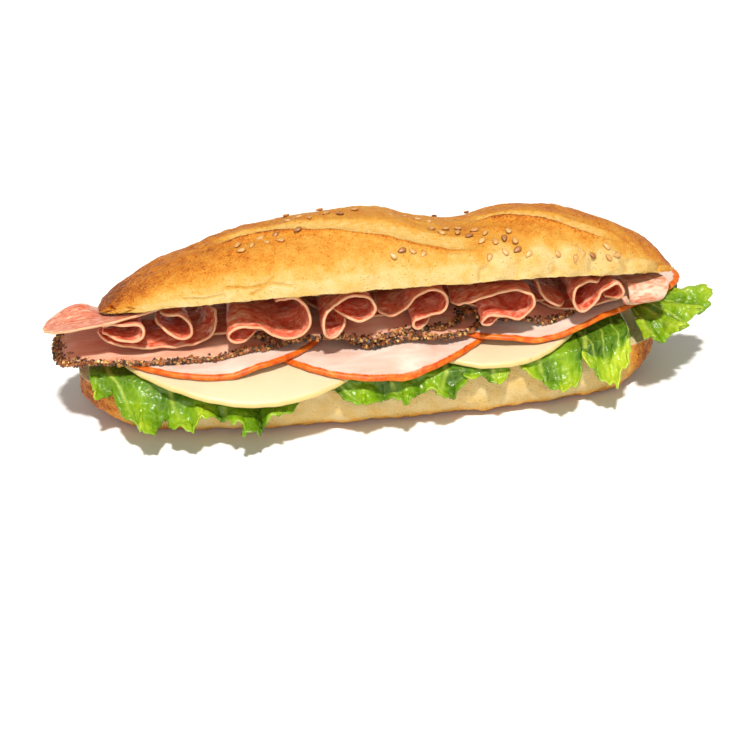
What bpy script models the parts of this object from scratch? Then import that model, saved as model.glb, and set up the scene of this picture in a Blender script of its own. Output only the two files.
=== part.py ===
"""Submarine sandwich: a split seeded roll with lettuce, cheese, ham, peppered turkey and salami.

Sizes are in millimetres and become metres as each mesh is made. X runs along the roll, Y from the
open front (-Y) to the back, Z up from the flat spot on which the bottom half of the roll rests.
"""

import math

import bmesh
import bpy
import numpy as np

MM = 0.001
GAP = 0.3

# Bottom half of the roll: length, width and height, and how its underside curls up at the ends
HEEL_LENGTH = 220.0
HEEL_WIDTH = 66.0
HEEL_MIDDLE_X = -0.5
HEEL_CUT_HEIGHT = 23.2
HEEL_CUT_EDGE_SAG = 0.8
HEEL_END_DROP = 4.5
HEEL_WIDEST_HEIGHT = 12.5
HEEL_FOOT_WIDTH = 40.0
HEEL_FOOT_SHARE = 0.80
HEEL_END_LIFT = 10.5
HEEL_CURL_POWER = 1.8
HEEL_FOOT_NARROWING = 0.5
HEEL_SIDE_SHARE = 0.35
HEEL_CUT_EDGE_SHARE = 0.95
HEEL_CUT_SHARES = (-0.7, -0.3, 0.3, 0.7)
HEEL_REACH = 0.995
HEEL_STATIONS = 19
HEEL_SIDE_POINTS = 4

# Top half of the roll: it leans back on its long edge, so that the front stands open
CROWN_LENGTH = 217.0
CROWN_WIDTH = 68.0
CROWN_MIDDLE_X = 6.5
CROWN_CUT_HEIGHT = 48.5
CROWN_TILT = math.radians(16.4)
CROWN_END_DROP = 7.0
CROWN_DOME = 25.3
CROWN_LEFT_POWER = 1.8
CROWN_RIGHT_POWER = 2.8
CROWN_ROOT = 1.6
CROWN_SQUARENESS = 2.3
CROWN_STATIONS = 30
CROWN_RIM_POINTS = 19
CROWN_REACH = 0.992
CROWN_CUT_SHARES = (0.2, 0.5, 0.8)
WAIST_X = 30.0
WAIST_HALF_LENGTH = 22.0
WAIST_DEPTH = 0.27

# Baker's slashes: each runs along the crown between two ends, and climbs from one angle to another
# round the dome, where 0 is the front edge of the cut and 90 the ridge
SLASHES = [
    {"ends": (-62.0, 38.0), "angles": (71.0, 36.0), "width": 13.0},
    {"ends": (33.0, 92.0), "angles": (74.0, 41.0), "width": 10.0},
]
SLASH_DEPTH = 1.9
SLASH_LIP = 1.3
SLASH_FADE = 12.0

# Sesame seeds, in patches: middle along x, middle angle, spread of both, and how many
SEED_LENGTH = 3.3
SEED_WIDTH = 2.1
SEED_HEIGHT = 1.1
SEED_SUNK = 0.35
SEED_SPACING = 3.8
SEED_TRIES = 60
SEED_SIDES = 4
SEED_RINGS = [(-0.45, 0.4), (0.08, 1.0), (0.45, 0.55)]
SEED_PATCHES = [
    (-40.0, 56.0, 11.0, 5.0, 8),
    (-20.0, 82.0, 16.0, 5.0, 6),
    (14.0, 76.0, 8.0, 3.0, 4),
    (28.0, 58.0, 8.0, 6.0, 7),
    (43.0, 45.0, 7.0, 8.0, 6),
    (9.0, 30.0, 6.0, 4.0, 4),
    (44.0, 26.0, 9.0, 4.0, 6),
    (70.0, 20.0, 9.0, 4.0, 7),
    (86.0, 24.0, 4.0, 7.0, 3),
    (10.0, 115.0, 55.0, 12.0, 5),
]

# The bed on which the slices lie: the bottom cut face, carried on past its edges as the slices sag
BED_HEIGHT = 23.5
BED_FRONT = -23.0
BED_FRONT_SAG = 0.0122
BED_BACK = 27.0
BED_BACK_SAG = 0.0086
BED_RIGHT_LIFT = 6.2
BED_RIGHT_START = 50.0
BED_RIGHT_RUN = 75.0
LATTICE_STEP = 14.0
LATTICE_START = -130.0
LATTICE_END = 140.0
LATTICE_Y = [-54.0, -48.0, -43.0, -38.0, -33.0, -27.0, -19.0, -8.0, 8.0, 19.0, 27.0, 33.0, 39.0, 46.0]
LETTUCE_SPACE = 1.6
COVER_MARGIN = 8.0
COVER_RAMP = 11.0

# Slices, from the lowest up: middle x and y, half-length, half-depth, turn in degrees, thickness.
# The outline is an oval at a power of 2, and squarer above that
CHEESE = 2.1
HAM = 1.9
TURKEY = 1.4
SALAMI = 1.0
SLICE_POWERS = {"cheese": 2.0, "ham": 2.0, "turkey": 3.0, "salami": 2.0}
SLICES = {
    "cheese_left": (-46.0, -1.0, 52.0, 42.5, 0.0, CHEESE),
    "cheese_right": (43.0, 3.0, 37.5, 38.5, 0.0, CHEESE),
    "ham_middle": (1.0, -1.0, 46.0, 38.5, 10.0, HAM),
    "ham_far_right": (94.0, 7.0, 29.0, 16.0, 12.0, HAM),
    "ham_left": (-59.0, 3.0, 43.0, 36.0, 0.0, HAM),
    "ham_right": (66.0, 2.0, 44.0, 27.5, 17.0, HAM),
    "turkey_middle": (11.0, 0.0, 31.0, 25.5, 0.0, TURKEY),
    "turkey_left": (-70.0, -1.0, 49.0, 22.5, -1.5, TURKEY),
    "turkey_upper": (-8.0, 0.0, 43.0, 24.5, 0.0, TURKEY),
    "turkey_right": (54.0, 3.0, 24.0, 23.5, 5.0, TURKEY),
    "salami_base_right": (78.0, 3.0, 20.0, 20.0, 0.0, SALAMI),
    "salami_back_left": (-49.0, 8.0, 26.0, 23.0, 0.0, SALAMI),
    "salami_back_middle": (0.0, 8.0, 27.0, 23.0, 0.0, SALAMI),
    "salami_back_right": (48.0, 8.0, 25.0, 23.0, 0.0, SALAMI),
}
SLICE_EDGE_POINTS = 21
TWO_LOBED = 0.012
THREE_LOBED = 0.006
CUTTER_HEIGHTS = (5.0, 75.0)

# Folded salami: front and back edges, the floor under each, the room left under the crown, and the
# rim's path at the open front as (x, height)
FOLDS = {
    "salami_wave": {
        "y": (-17.0, 3.0), "floor": (31.9, 33.9), "room": 3.2,
        "rim": [(-105, 38.4), (-98, 36.4), (-92, 34.4), (-86, 33.4), (-72, 33), (-63.5, 35.2), (-60, 40),
                (-58.8, 46)]},
    "salami_fold_1": {
        "y": (-20.0, 0.0), "floor": (36.2, 36.4), "room": 3.2,
        "rim": [(-102, 43.6), (-96, 45), (-90, 44.8), (-87, 42.8), (-87.4, 39.8), (-91, 38.4), (-97, 39.4),
                (-102, 40.8)]},
    "salami_fold_2": {
        "y": (-20.0, 6.0), "floor": (35.6, 36.2), "room": 3.2,
        "rim": [(-82.6, 44.6), (-79.5, 41.8), (-76, 38.9), (-72.4, 37.4), (-69.8, 39.2), (-69.6, 43),
                (-71.5, 46), (-75.5, 47.2), (-80.5, 47.4)]},
    "salami_fold_3": {
        "y": (-27.0, 14.0), "floor": (36.3, 39.5), "room": 1.0,
        "rim": [(-38.4, 51), (-36.5, 53.8), (-32.5, 54.4), (-28.5, 51), (-27, 44.5), (-29.5, 39.8), (-34, 38),
                (-40, 39.8), (-45, 43), (-51, 44.6), (-55.6, 43.2), (-56.2, 39.6), (-52, 37.6), (-46, 37.8)]},
    "salami_fold_4": {
        "y": (-29.0, 14.0), "floor": (36.3, 40.4), "room": 1.0,
        "rim": [(-18.4, 46.4), (-14, 45.6), (-9, 44.2), (-5, 45.4), (-3.6, 49), (-5.5, 53), (-10.5, 54.8),
                (-16.5, 52.6), (-21.3, 47.4), (-22.6, 41.4), (-19.8, 37.6), (-15.8, 38.8), (-13.4, 42)]},
    "salami_fold_5": {
        "y": (-27.0, 14.0), "floor": (36.3, 39.5), "room": 1.0,
        "rim": [(-2.2, 43.4), (2, 43.6), (6.5, 45.4), (12, 51), (18.5, 53.8), (23, 50.4), (22.5, 45.6),
                (17, 42.6), (12, 41.6), (11, 39.4), (13.5, 37.6), (19, 38.4)]},
    "salami_fold_6": {
        "y": (-28.0, 14.0), "floor": (36.3, 40.9), "room": 1.0,
        "rim": [(25, 44.6), (30, 47), (37, 49.6), (46, 51), (54, 49.6), (55.5, 44.5), (50.5, 39), (43.5, 41),
                (38, 41.4), (36.4, 38.4), (40, 36.9), (45, 38)]},
    "salami_fold_7": {
        "y": (-26.0, 8.0), "floor": (36.6, 38.4), "room": 1.0,
        "rim": [(83, 50.6), (77, 51), (72, 49.6), (70.8, 46), (71.6, 41.6), (74, 39.2), (78, 41.4), (82, 46.4),
                (86.5, 49.8), (89.6, 47.4), (89, 43.4), (84.5, 41.2)]},
    "salami_fold_8": {
        "y": (-24.0, 8.0), "floor": (36.6, 38.4), "room": 1.0,
        "rim": [(58.6, 50.4), (59.6, 46.6), (63, 42.8), (67, 40), (70, 38.4)]},
}
FOLD_NARROWING = 0.22
FOLD_ROUNDING = 7.0
FOLD_ROUNDING_RUN = 9.0
FOLD_STATIONS = 4
FOLD_STEPS_PER_POINT = 2
FOLD_FLOOR_RUN = 0.33

# Two salami slices that hang out from under the crown, one at each end
END_SLICE_LEFT = {"middle": (-99.5, -4.5), "half": (22.5, 15.5), "power": 2.8, "turn": 12.0,
                  "under": 1.2, "droop": 2.6, "droop_run": 18.0, "rings": (0.04, 0.5, 0.8, 1.0),
                  "edge_points": 21, "hump": 4.5, "hump_middle": (-110.0, 3.0), "hump_spread": 9.0}
CROWN_END_INSET = 2.0
END_FLAP_PATH = [(9, 38.4), (0, 40.6), (-10, 43.4), (-17, 44.8), (-21.4, 43.6), (-22.6, 41.0), (-20.4, 38.9),
                 (-17.2, 39.6)]
END_FLAP_X = (93.0, 109.0)
END_FLAP_SLANT = 5.0
END_FLAP_SLANT_FROM = 0.4

# Lettuce leaves: ends along x, how far the frill hangs at the front and the back, and its ruffles
LEAF_THICK = 1.0
LEAF_FLAT_SHARES = [1.0, 0.8, 0.38]
LEAF_CLEAR = 0.4
LEAF_DROP = 0.6
LEAF_ROOT_X = 104.0
FRILL_SHARES = [1.0, 0.72, 0.42, 0.16]
BACK_FRILL_SHARES = [1.0, 0.45]
LEAVES = {
    "lettuce_left": {"ends": (-106.0, -29.0), "hang": (17.0, 9.0), "dip": 0.25, "slope": 48.0,
                     "waves": 4.0, "height": 2.6, "phase": 0.4, "columns": 16},
    "lettuce_middle": {"ends": (-13.0, 29.0), "hang": (11.0, 8.0), "dip": 0.15, "slope": 60.0,
                       "waves": 3.5, "height": 1.9, "phase": 2.2, "columns": 11},
    "lettuce_curl": {"ends": (31.5, 49.0), "hang": (8.0, 6.0), "dip": 0.1, "slope": 58.0,
                     "waves": 1.5, "height": 1.3, "phase": 0.0, "columns": 7},
    "lettuce_lobe": {"ends": (52.0, 75.0), "hang": (15.0, 7.0), "dip": 0.35, "slope": 66.0,
                     "waves": 1.5, "height": 2.0, "phase": 1.0, "columns": 8},
    "lettuce_fan": {"ends": (77.0, 96.0), "hang": (16.5, 6.0), "dip": 0.0, "slope": 62.0,
                    "waves": 1.0, "height": 1.4, "phase": 2.5, "columns": 7},
}
END_LEAF = {"middle": (98.5, 0.0), "radii": (3.0, 11.0, 18.0, 24.0), "angles": (-92.0, 42.0),
            "height": 2.4, "waves": 4.0, "columns": 18, "tip": 10.0}

COLOURS = {
    "crust": (0.72, 0.40, 0.13), "lettuce": (0.22, 0.47, 0.03), "cheese": (0.93, 0.83, 0.48),
    "ham": (0.87, 0.55, 0.48), "turkey": (0.78, 0.52, 0.38), "salami": (0.68, 0.24, 0.19),
}


def smooth(value):
    """Smoothstep: 0 below 0, 1 above 1, level at both ends."""
    share = np.clip(value, 0, 1)
    return share * share * (3 - 2 * share)


def dome(share, power, root):
    """1 in the middle, falling to 0 where the share is -1 or 1."""
    return np.clip(1 - np.abs(share) ** power, 0, None) ** (1 / root)


def material(kind):
    """One matt material for each kind of food."""
    found = bpy.data.materials.get(kind)
    if found:
        return found
    made = bpy.data.materials.new(kind)
    made.use_nodes = True
    shader = made.node_tree.nodes["Principled BSDF"]
    shader.inputs["Base Color"].default_value = (*COLOURS[kind], 1)
    shader.inputs["Roughness"].default_value = 0.55
    shader.inputs["Metallic"].default_value = 0.0
    return made


def add_object(name, points, faces, kind, collection=None):
    """Make a closed mesh object from points in millimetres, with its faces turned outwards."""
    mesh = bpy.data.meshes.new(name)
    mesh.from_pydata([tuple(point) for point in np.asarray(points) * MM], [], faces)
    work = bmesh.new()
    work.from_mesh(mesh)
    bmesh.ops.recalc_face_normals(work, faces=work.faces)
    work.to_mesh(mesh)
    work.free()
    mesh.materials.append(material(kind))
    made = bpy.data.objects.new(name, mesh)
    (collection or bpy.context.scene.collection).objects.link(made)
    return made


def grid_triangles(rows, columns, first, turned):
    """Triangles of a rows-by-columns grid of points, every square cut along the same diagonal."""
    triangles = []
    for row in range(rows - 1):
        for column in range(columns - 1):
            near = first + row * columns + column
            far = near + columns
            triangles += [(near, far, far + 1), (near, far + 1, near + 1)]
    return [face[::-1] for face in triangles] if turned else triangles


def add_sheet(name, upper, lower, kind, collection=None):
    """A thin solid between two grids of points, closed round its edge."""
    rows, columns = upper.shape[:2]
    count = rows * columns
    faces = grid_triangles(rows, columns, 0, False) + grid_triangles(rows, columns, count, True)
    edge = [column for column in range(columns)]
    edge += [row * columns + columns - 1 for row in range(1, rows)]
    edge += [(rows - 1) * columns + column for column in range(columns - 2, -1, -1)]
    edge += [row * columns for row in range(rows - 2, 0, -1)]
    for here, there in zip(edge, edge[1:] + edge[:1]):
        faces += [(here, there, there + count), (here, there + count, here + count)]
    points = np.concatenate([upper.reshape(-1, 3), lower.reshape(-1, 3)])
    return add_object(name, points, faces, kind, collection)


def add_loft(name, rings, kind, collection=None):
    """A solid through a row of rings of points, closed by a fan at each end."""
    count, size = rings.shape[:2]
    faces = []
    for ring in range(count - 1):
        for place in range(size):
            near, beside = ring * size + place, ring * size + (place + 1) % size
            faces += [(near, beside, beside + size), (near, beside + size, near + size)]
    first_tip, last_tip = count * size, count * size + 1
    last = (count - 1) * size
    for place in range(size):
        beside = (place + 1) % size
        faces += [(first_tip, beside, place), (last_tip, last + place, last + beside)]
    points = np.concatenate([rings.reshape(-1, 3), [rings[0].mean(0), rings[-1].mean(0)]])
    return add_object(name, points, faces, kind, collection)


def end_spaced(count, reach):
    """Shares from -reach to reach that crowd together towards both ends."""
    return reach * np.sin(np.linspace(-math.pi / 2, math.pi / 2, count))


def heel_half_width(x):
    """Half the bottom roll's width at x."""
    return HEEL_WIDTH / 2 * dome((x - HEEL_MIDDLE_X) / (HEEL_LENGTH / 2), 2.8, 2.3)


def heel_ring(share):
    """Cross-section of the bottom half: flat foot, bulging sides, flat cut face on top."""
    x = HEEL_MIDDLE_X + share * HEEL_LENGTH / 2
    half = heel_half_width(x)
    curl = np.clip((abs(share) - HEEL_FOOT_SHARE) / (1 - HEEL_FOOT_SHARE), 0, 1)
    low = HEEL_END_LIFT * curl**HEEL_CURL_POWER
    foot = HEEL_FOOT_WIDTH / HEEL_WIDTH * half * (1 - HEEL_FOOT_NARROWING * curl)
    top = HEEL_CUT_HEIGHT - HEEL_END_DROP * abs(share) ** 4
    widest = max(HEEL_WIDEST_HEIGHT, low + HEEL_SIDE_SHARE * (top - low))
    angles = np.linspace(0, math.pi / 2, HEEL_SIDE_POINTS + 1)
    side_y = foot + (half - foot) * np.sin(angles)
    side_z = low + (widest - low) * (1 - np.cos(angles))
    edge_y = half * HEEL_CUT_EDGE_SHARE
    edge_z = top - HEEL_CUT_EDGE_SAG
    back = [(edge_y, edge_z)] + list(zip(side_y, side_z))[::-1]
    front = [(-y, z) for y, z in back][::-1]
    across = [(share_y * half, top - HEEL_CUT_EDGE_SAG * abs(share_y) ** 4)
              for share_y in HEEL_CUT_SHARES]
    return [(x, y, z) for y, z in back + front + across]


def make_heel():
    """Bottom half of the roll."""
    rings = [heel_ring(share) for share in end_spaced(HEEL_STATIONS, HEEL_REACH)]
    add_loft("bun_bottom", np.array(rings), "crust")


def crown_middle_height(x):
    """Height of the crown's cut face on the roll's middle line."""
    share = (x - CROWN_MIDDLE_X) / (CROWN_LENGTH / 2)
    return CROWN_CUT_HEIGHT - CROWN_END_DROP * np.abs(share) ** 3


def crown_cut(x, y):
    """Height of the crown's cut face."""
    return crown_middle_height(x) - math.tan(CROWN_TILT) * y


def slash_relief(x, angle):
    """Height added to the dome by the slashes: a raised front lip, and a shallow bed behind it."""
    relief = np.zeros(np.broadcast(x, angle).shape)
    for slash in SLASHES:
        start, end = slash["ends"]
        low, high = slash["angles"]
        lip = low + (high - low) * smooth((x - start) / (end - start) * 1.05)
        fade = smooth((x - start) / SLASH_FADE) * smooth((end - x) / SLASH_FADE)
        behind = (angle - lip) / slash["width"]
        raised = np.exp(-(((behind + 0.12) / 0.22) ** 2))
        opened = smooth(behind / 0.3) * smooth((1.35 - behind) / 0.6)
        relief = relief + fade * (SLASH_LIP * raised - SLASH_DEPTH * opened)
    return relief


def crown_point(x, angle):
    """Point on the dome at x, at an angle in degrees from its front edge over to its back edge."""
    x, angle = np.broadcast_arrays(np.asarray(x, float), np.asarray(angle, float))
    share = (x - CROWN_MIDDLE_X) / (CROWN_LENGTH / 2)
    waist = 1 - WAIST_DEPTH * np.exp(-(((x - WAIST_X) / WAIST_HALF_LENGTH) ** 2))
    half = CROWN_WIDTH / 2 * dome(share, 2.6, 2.2)
    power = np.where(share < 0, CROWN_LEFT_POWER, CROWN_RIGHT_POWER)
    height = CROWN_DOME * dome(share, power, CROWN_ROOT) * waist
    turn = np.radians(angle)
    reach = (np.abs(np.cos(turn)) ** CROWN_SQUARENESS + np.sin(turn) ** CROWN_SQUARENESS)
    radius = reach ** (-1 / CROWN_SQUARENESS)
    swell = 1 + slash_relief(x, angle) / CROWN_DOME
    across = -half * radius * np.cos(turn) * swell
    above = height * radius * np.sin(turn) * swell
    y = across * math.cos(CROWN_TILT) + above * math.sin(CROWN_TILT)
    z = crown_middle_height(x) - across * math.sin(CROWN_TILT) + above * math.cos(CROWN_TILT)
    return np.stack([x, y, z], -1)


def add_seed(number, place, outward, heading, collection):
    """A sesame seed: a flat drop of three rings, pointed at one end."""
    along = np.cross(outward, [math.cos(heading), math.sin(heading), 0.3])
    along /= np.linalg.norm(along)
    side = np.cross(outward, along)
    rings = []
    for share, width in SEED_RINGS:
        turns = np.linspace(0, 2 * math.pi, SEED_SIDES, endpoint=False)
        across = np.cos(turns)[:, None] * side * SEED_WIDTH / 2 * width
        up = np.sin(turns)[:, None] * outward * SEED_HEIGHT / 2 * width
        middle = place + along * share * SEED_LENGTH + outward * (SEED_HEIGHT / 2 - SEED_SUNK)
        rings.append(middle + across + up)
    add_loft(f"seed_{number}", np.array(rings), "crust", collection)


def seed_places(crown):
    """Where the seeds lie on the crown: drawn from the patches, and kept apart."""
    draw = np.random.default_rng(7)
    places = []
    for middle_x, middle_angle, spread_x, spread_angle, count in SEED_PATCHES:
        found = 0
        for _ in range(SEED_TRIES):
            if found == count:
                break
            x = middle_x + spread_x * draw.uniform(-1, 1)
            angle = middle_angle + spread_angle * draw.uniform(-1, 1)
            _, point, outward, _ = crown.closest_point_on_mesh(crown_point(x, angle) * MM)
            point = np.array(point) / MM
            if all(np.linalg.norm(point - other[0]) > SEED_SPACING for other in places):
                places.append((point, np.array(outward), draw.uniform(0, math.pi)))
                found += 1
    return places


def make_crown():
    """Top half of the roll, with its seeds joined on."""
    shares = end_spaced(CROWN_STATIONS, CROWN_REACH)
    angles = np.linspace(0, 180, CROWN_RIM_POINTS)
    rings = []
    for share in shares:
        x = CROWN_MIDDLE_X + share * CROWN_LENGTH / 2
        arch = crown_point(x, angles)
        across = [arch[-1] + (arch[0] - arch[-1]) * part for part in CROWN_CUT_SHARES]
        rings.append(np.concatenate([arch, across]))
    crown = add_loft("bun_top", np.array(rings), "crust")
    seeds = bpy.data.collections.new("seeds")
    bpy.context.scene.collection.children.link(seeds)
    for number, (place, outward, heading) in enumerate(seed_places(crown)):
        add_seed(number, place, outward, heading, seeds)
    join = crown.modifiers.new("seeds", "BOOLEAN")
    join.operation = "UNION"
    join.operand_type = "COLLECTION"
    join.collection = seeds
    join.solver = "MANIFOLD"
    apply_modifiers(crown)
    remove_collection(seeds)


def apply_modifiers(thing):
    """Put the evaluated mesh in place of the object's own."""
    evaluated = thing.evaluated_get(bpy.context.evaluated_depsgraph_get())
    mesh = bpy.data.meshes.new_from_object(evaluated)
    thing.modifiers.clear()
    thing.data = mesh


def remove_collection(collection):
    """Delete a collection and what is in it."""
    for thing in list(collection.objects):
        bpy.data.objects.remove(thing)
    bpy.data.collections.remove(collection)


def bed(x, y):
    """Height of the bed under the slices: level, sagging by the square past each long edge."""
    sag = BED_FRONT_SAG * np.clip(BED_FRONT - y, 0, None)**2
    sag = sag + BED_BACK_SAG * np.clip(y - BED_BACK, 0, None)**2
    return BED_HEIGHT - sag + BED_RIGHT_LIFT * smooth((x - BED_RIGHT_START) / BED_RIGHT_RUN)


def oval(angles, half_length, half_depth, power):
    """Points of an oval, or of a squarer ring at a higher power."""
    across, deep = np.cos(angles), np.sin(angles)
    return (half_length * np.sign(across) * np.abs(across) ** (2 / power),
            half_depth * np.sign(deep) * np.abs(deep) ** (2 / power))


def slice_outline(name):
    """A slice's edge, slightly out of true."""
    middle_x, middle_y, half_length, half_depth, turn, _ = SLICES[name]
    angles = np.linspace(0, 2 * math.pi, SLICE_EDGE_POINTS, endpoint=False)
    x, y = oval(angles, half_length, half_depth, SLICE_POWERS[name.split("_")[0]])
    uneven = 1 + TWO_LOBED * np.sin(2 * angles + middle_x) + THREE_LOBED * np.sin(3 * angles + middle_y)
    x, y, slant = x * uneven, y * uneven, math.radians(turn)
    return np.stack([middle_x + x * math.cos(slant) - y * math.sin(slant),
                     middle_y + x * math.sin(slant) + y * math.cos(slant)], -1)


def slice_cover(name, x, y):
    """1 over a slice and just outside it, falling to 0 further out, where the next one sags."""
    middle_x, middle_y, half_length, half_depth, turn, _ = SLICES[name]
    power, slant = SLICE_POWERS[name.split("_")[0]], math.radians(turn)
    x, y = x - middle_x, y - middle_y
    along = np.abs(x * math.cos(slant) + y * math.sin(slant)) / half_length
    deep = np.abs(y * math.cos(slant) - x * math.sin(slant)) / half_depth
    radius = (along**power + deep**power) ** (1 / power)
    outside = (radius - 1) * min(half_length, half_depth)
    return 1 - smooth((outside - COVER_MARGIN) / COVER_RAMP)


def make_slices():
    """Flat slices: every one is cut from the same lattice of heights, so that none cross."""
    lattice_x = np.arange(LATTICE_START, LATTICE_END + 1, LATTICE_STEP)
    x, y = np.meshgrid(lattice_x, LATTICE_Y, indexing="ij")
    lower = bed(x, y) + LETTUCE_SPACE
    for name in SLICES:
        thick = SLICES[name][-1]
        upper = lower + thick
        blank = add_sheet(name, np.stack([x, y, upper], -1), np.stack([x, y, lower], -1),
                          name.split("_")[0])
        cutter = add_prism("slice_cutter", slice_outline(name), *CUTTER_HEIGHTS)
        cut = blank.modifiers.new("outline", "BOOLEAN")
        cut.operation = "INTERSECT"
        cut.object = cutter
        apply_modifiers(blank)
        bpy.data.objects.remove(cutter)
        merge_flat_faces(blank)
        lower = lower + (thick + GAP) * slice_cover(name, x, y)


def add_prism(name, outline, bottom, top):
    """An upright prism on a closed outline."""
    count = len(outline)
    points = [(x, y, bottom) for x, y in outline] + [(x, y, top) for x, y in outline]
    faces = [list(range(count)), list(range(count, 2 * count))]
    for here in range(count):
        there = (here + 1) % count
        faces.append((here, there, there + count, here + count))
    return add_object(name, points, faces, "cheese")


def merge_flat_faces(thing):
    """Join neighbouring faces that lie in one plane, then cut all faces into triangles."""
    work = bmesh.new()
    work.from_mesh(thing.data)
    bmesh.ops.remove_doubles(work, verts=work.verts, dist=0.00002)
    bmesh.ops.dissolve_limit(work, angle_limit=0.003, verts=work.verts, edges=work.edges)
    bmesh.ops.triangulate(work, faces=work.faces)
    work.to_mesh(thing.data)
    work.free()


def smooth_path(corners, steps):
    """A curve through the corners, with the given steps between each two of them."""
    padded = np.array([corners[0]] + list(corners) + [corners[-1]], float)
    path = []
    for start in range(len(corners) - 1):
        before, here, there, after = padded[start:start + 4]
        for share in np.arange(steps) / steps:
            path.append(0.5 * (2 * here + (there - before) * share
                               + (2 * before - 5 * here + 4 * there - after) * share**2
                               + (3 * here - before - 3 * there + after) * share**3))
    path.append(padded[-1])
    return np.array(path)


def path_normals(path):
    """Unit normals of a plane path."""
    ahead = np.gradient(path, axis=0)
    ahead /= np.linalg.norm(ahead, axis=1)[:, None]
    return np.stack([-ahead[:, 1], ahead[:, 0]], -1)


def make_folds():
    """Folded salami: a wavy rim at the front, running back and flattening under the crown. The slices
    are round, so the rim falls back towards both its ends."""
    for name, fold in FOLDS.items():
        path = smooth_path(fold["rim"], FOLD_STEPS_PER_POINT)
        normals = path_normals(path)
        middle = path[:, 0].mean()
        front_y, back_y = fold["y"]
        floor_front, floor_back = fold["floor"]
        run = np.concatenate([[0], np.cumsum(np.linalg.norm(np.diff(path, axis=0), axis=1))])
        to_end = np.minimum(1, np.minimum(run, run[-1] - run) / FOLD_ROUNDING_RUN)
        start = FOLD_ROUNDING * (1 - to_end) ** 2 / (back_y - front_y)
        sides = []
        for side in (0.5, -0.5):
            rim = path + normals * SALAMI * side
            rows = []
            for row_share in np.linspace(0, 1, FOLD_STATIONS):
                share = start + (1 - start) * row_share
                y = front_y + (back_y - front_y) * share
                x = middle + (rim[:, 0] - middle) * (1 - FOLD_NARROWING * share)
                floor = floor_front + (floor_back - floor_front) * np.minimum(1, share / FOLD_FLOOR_RUN)
                room_front = crown_cut(rim[:, 0], front_y) - fold["room"] - floor_front
                room_here = crown_cut(x, y) - fold["room"] - floor
                z = floor + (rim[:, 1] - floor_front) * room_here / room_front
                rows.append(np.stack([x, y, z], -1))
            sides.append(np.array(rows))
        add_sheet(name, sides[0], sides[1], "salami")


def make_end_slices():
    """A slice that droops out of the left end, and a flap that rolls out at the right."""
    middle_x, middle_y = END_SLICE_LEFT["middle"]
    half_x, half_y = END_SLICE_LEFT["half"]
    edge_turns = np.linspace(0, 2 * math.pi, END_SLICE_LEFT["edge_points"])
    turn, radius = np.meshgrid(edge_turns, END_SLICE_LEFT["rings"])
    across, deep = oval(turn, half_x, half_y, END_SLICE_LEFT["power"])
    slant = math.radians(END_SLICE_LEFT["turn"])
    x = middle_x + radius * (across * math.cos(slant) - deep * math.sin(slant))
    y = middle_y + radius * (across * math.sin(slant) + deep * math.cos(slant))
    edge_x = CROWN_MIDDLE_X - CROWN_LENGTH / 2 + CROWN_END_INSET
    past_edge = np.clip((edge_x - x) / END_SLICE_LEFT["droop_run"], 0, None)
    top = crown_cut(np.maximum(x, edge_x), y) - END_SLICE_LEFT["under"]
    top = top - END_SLICE_LEFT["droop"] * past_edge**1.5
    hump_x, hump_y = END_SLICE_LEFT["hump_middle"]
    from_hump = np.hypot(x - hump_x, y - hump_y) / END_SLICE_LEFT["hump_spread"]
    top = top + END_SLICE_LEFT["hump"] * np.exp(-from_hump**2) * smooth(past_edge * 3)
    upper, lower = np.stack([x, y, top], -1), np.stack([x, y, top - SALAMI], -1)
    add_disc("salami_end_left", upper, lower, "salami")

    path = smooth_path(END_FLAP_PATH, FOLD_STEPS_PER_POINT)
    normals = path_normals(path)
    sides = []
    for side in (0.5, -0.5):
        rim = path + normals * SALAMI * side
        past = (np.arange(len(path)) / len(path) - END_FLAP_SLANT_FROM) / (1 - END_FLAP_SLANT_FROM)
        lean = END_FLAP_SLANT * smooth(past)
        rows = [np.stack([end - lean * (end > END_FLAP_X[0]), rim[:, 0], rim[:, 1]], -1)
                for end in np.linspace(*END_FLAP_X, FOLD_STATIONS)]
        sides.append(np.array(rows))
    add_sheet("salami_end_right", sides[0], sides[1], "salami")


def add_disc(name, upper, lower, kind):
    """A thin round solid from rings of points, closed by a fan in the middle and a wall at the edge."""
    rings, count = upper.shape[0], upper.shape[1] - 1
    upper, lower = upper[:, :-1], lower[:, :-1]
    size = rings * count
    faces = []
    for base, turned in ((0, False), (size, True)):
        made = []
        for ring in range(rings - 1):
            for place in range(count):
                near, beside = base + ring * count + place, base + ring * count + (place + 1) % count
                made += [(near, near + count, beside + count), (near, beside + count, beside)]
        made += [(2 * size + int(turned), base + place, base + (place + 1) % count)
                 for place in range(count)]
        faces += [face[::-1] for face in made] if turned else made
    last = (rings - 1) * count
    for place in range(count):
        here, there = last + place, last + (place + 1) % count
        faces += [(here, here + size, there + size), (here, there + size, there)]
    middles = [upper[0].mean(0), lower[0].mean(0)]
    points = np.concatenate([upper.reshape(-1, 3), lower.reshape(-1, 3), middles])
    return add_object(name, points, faces, kind)


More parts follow.
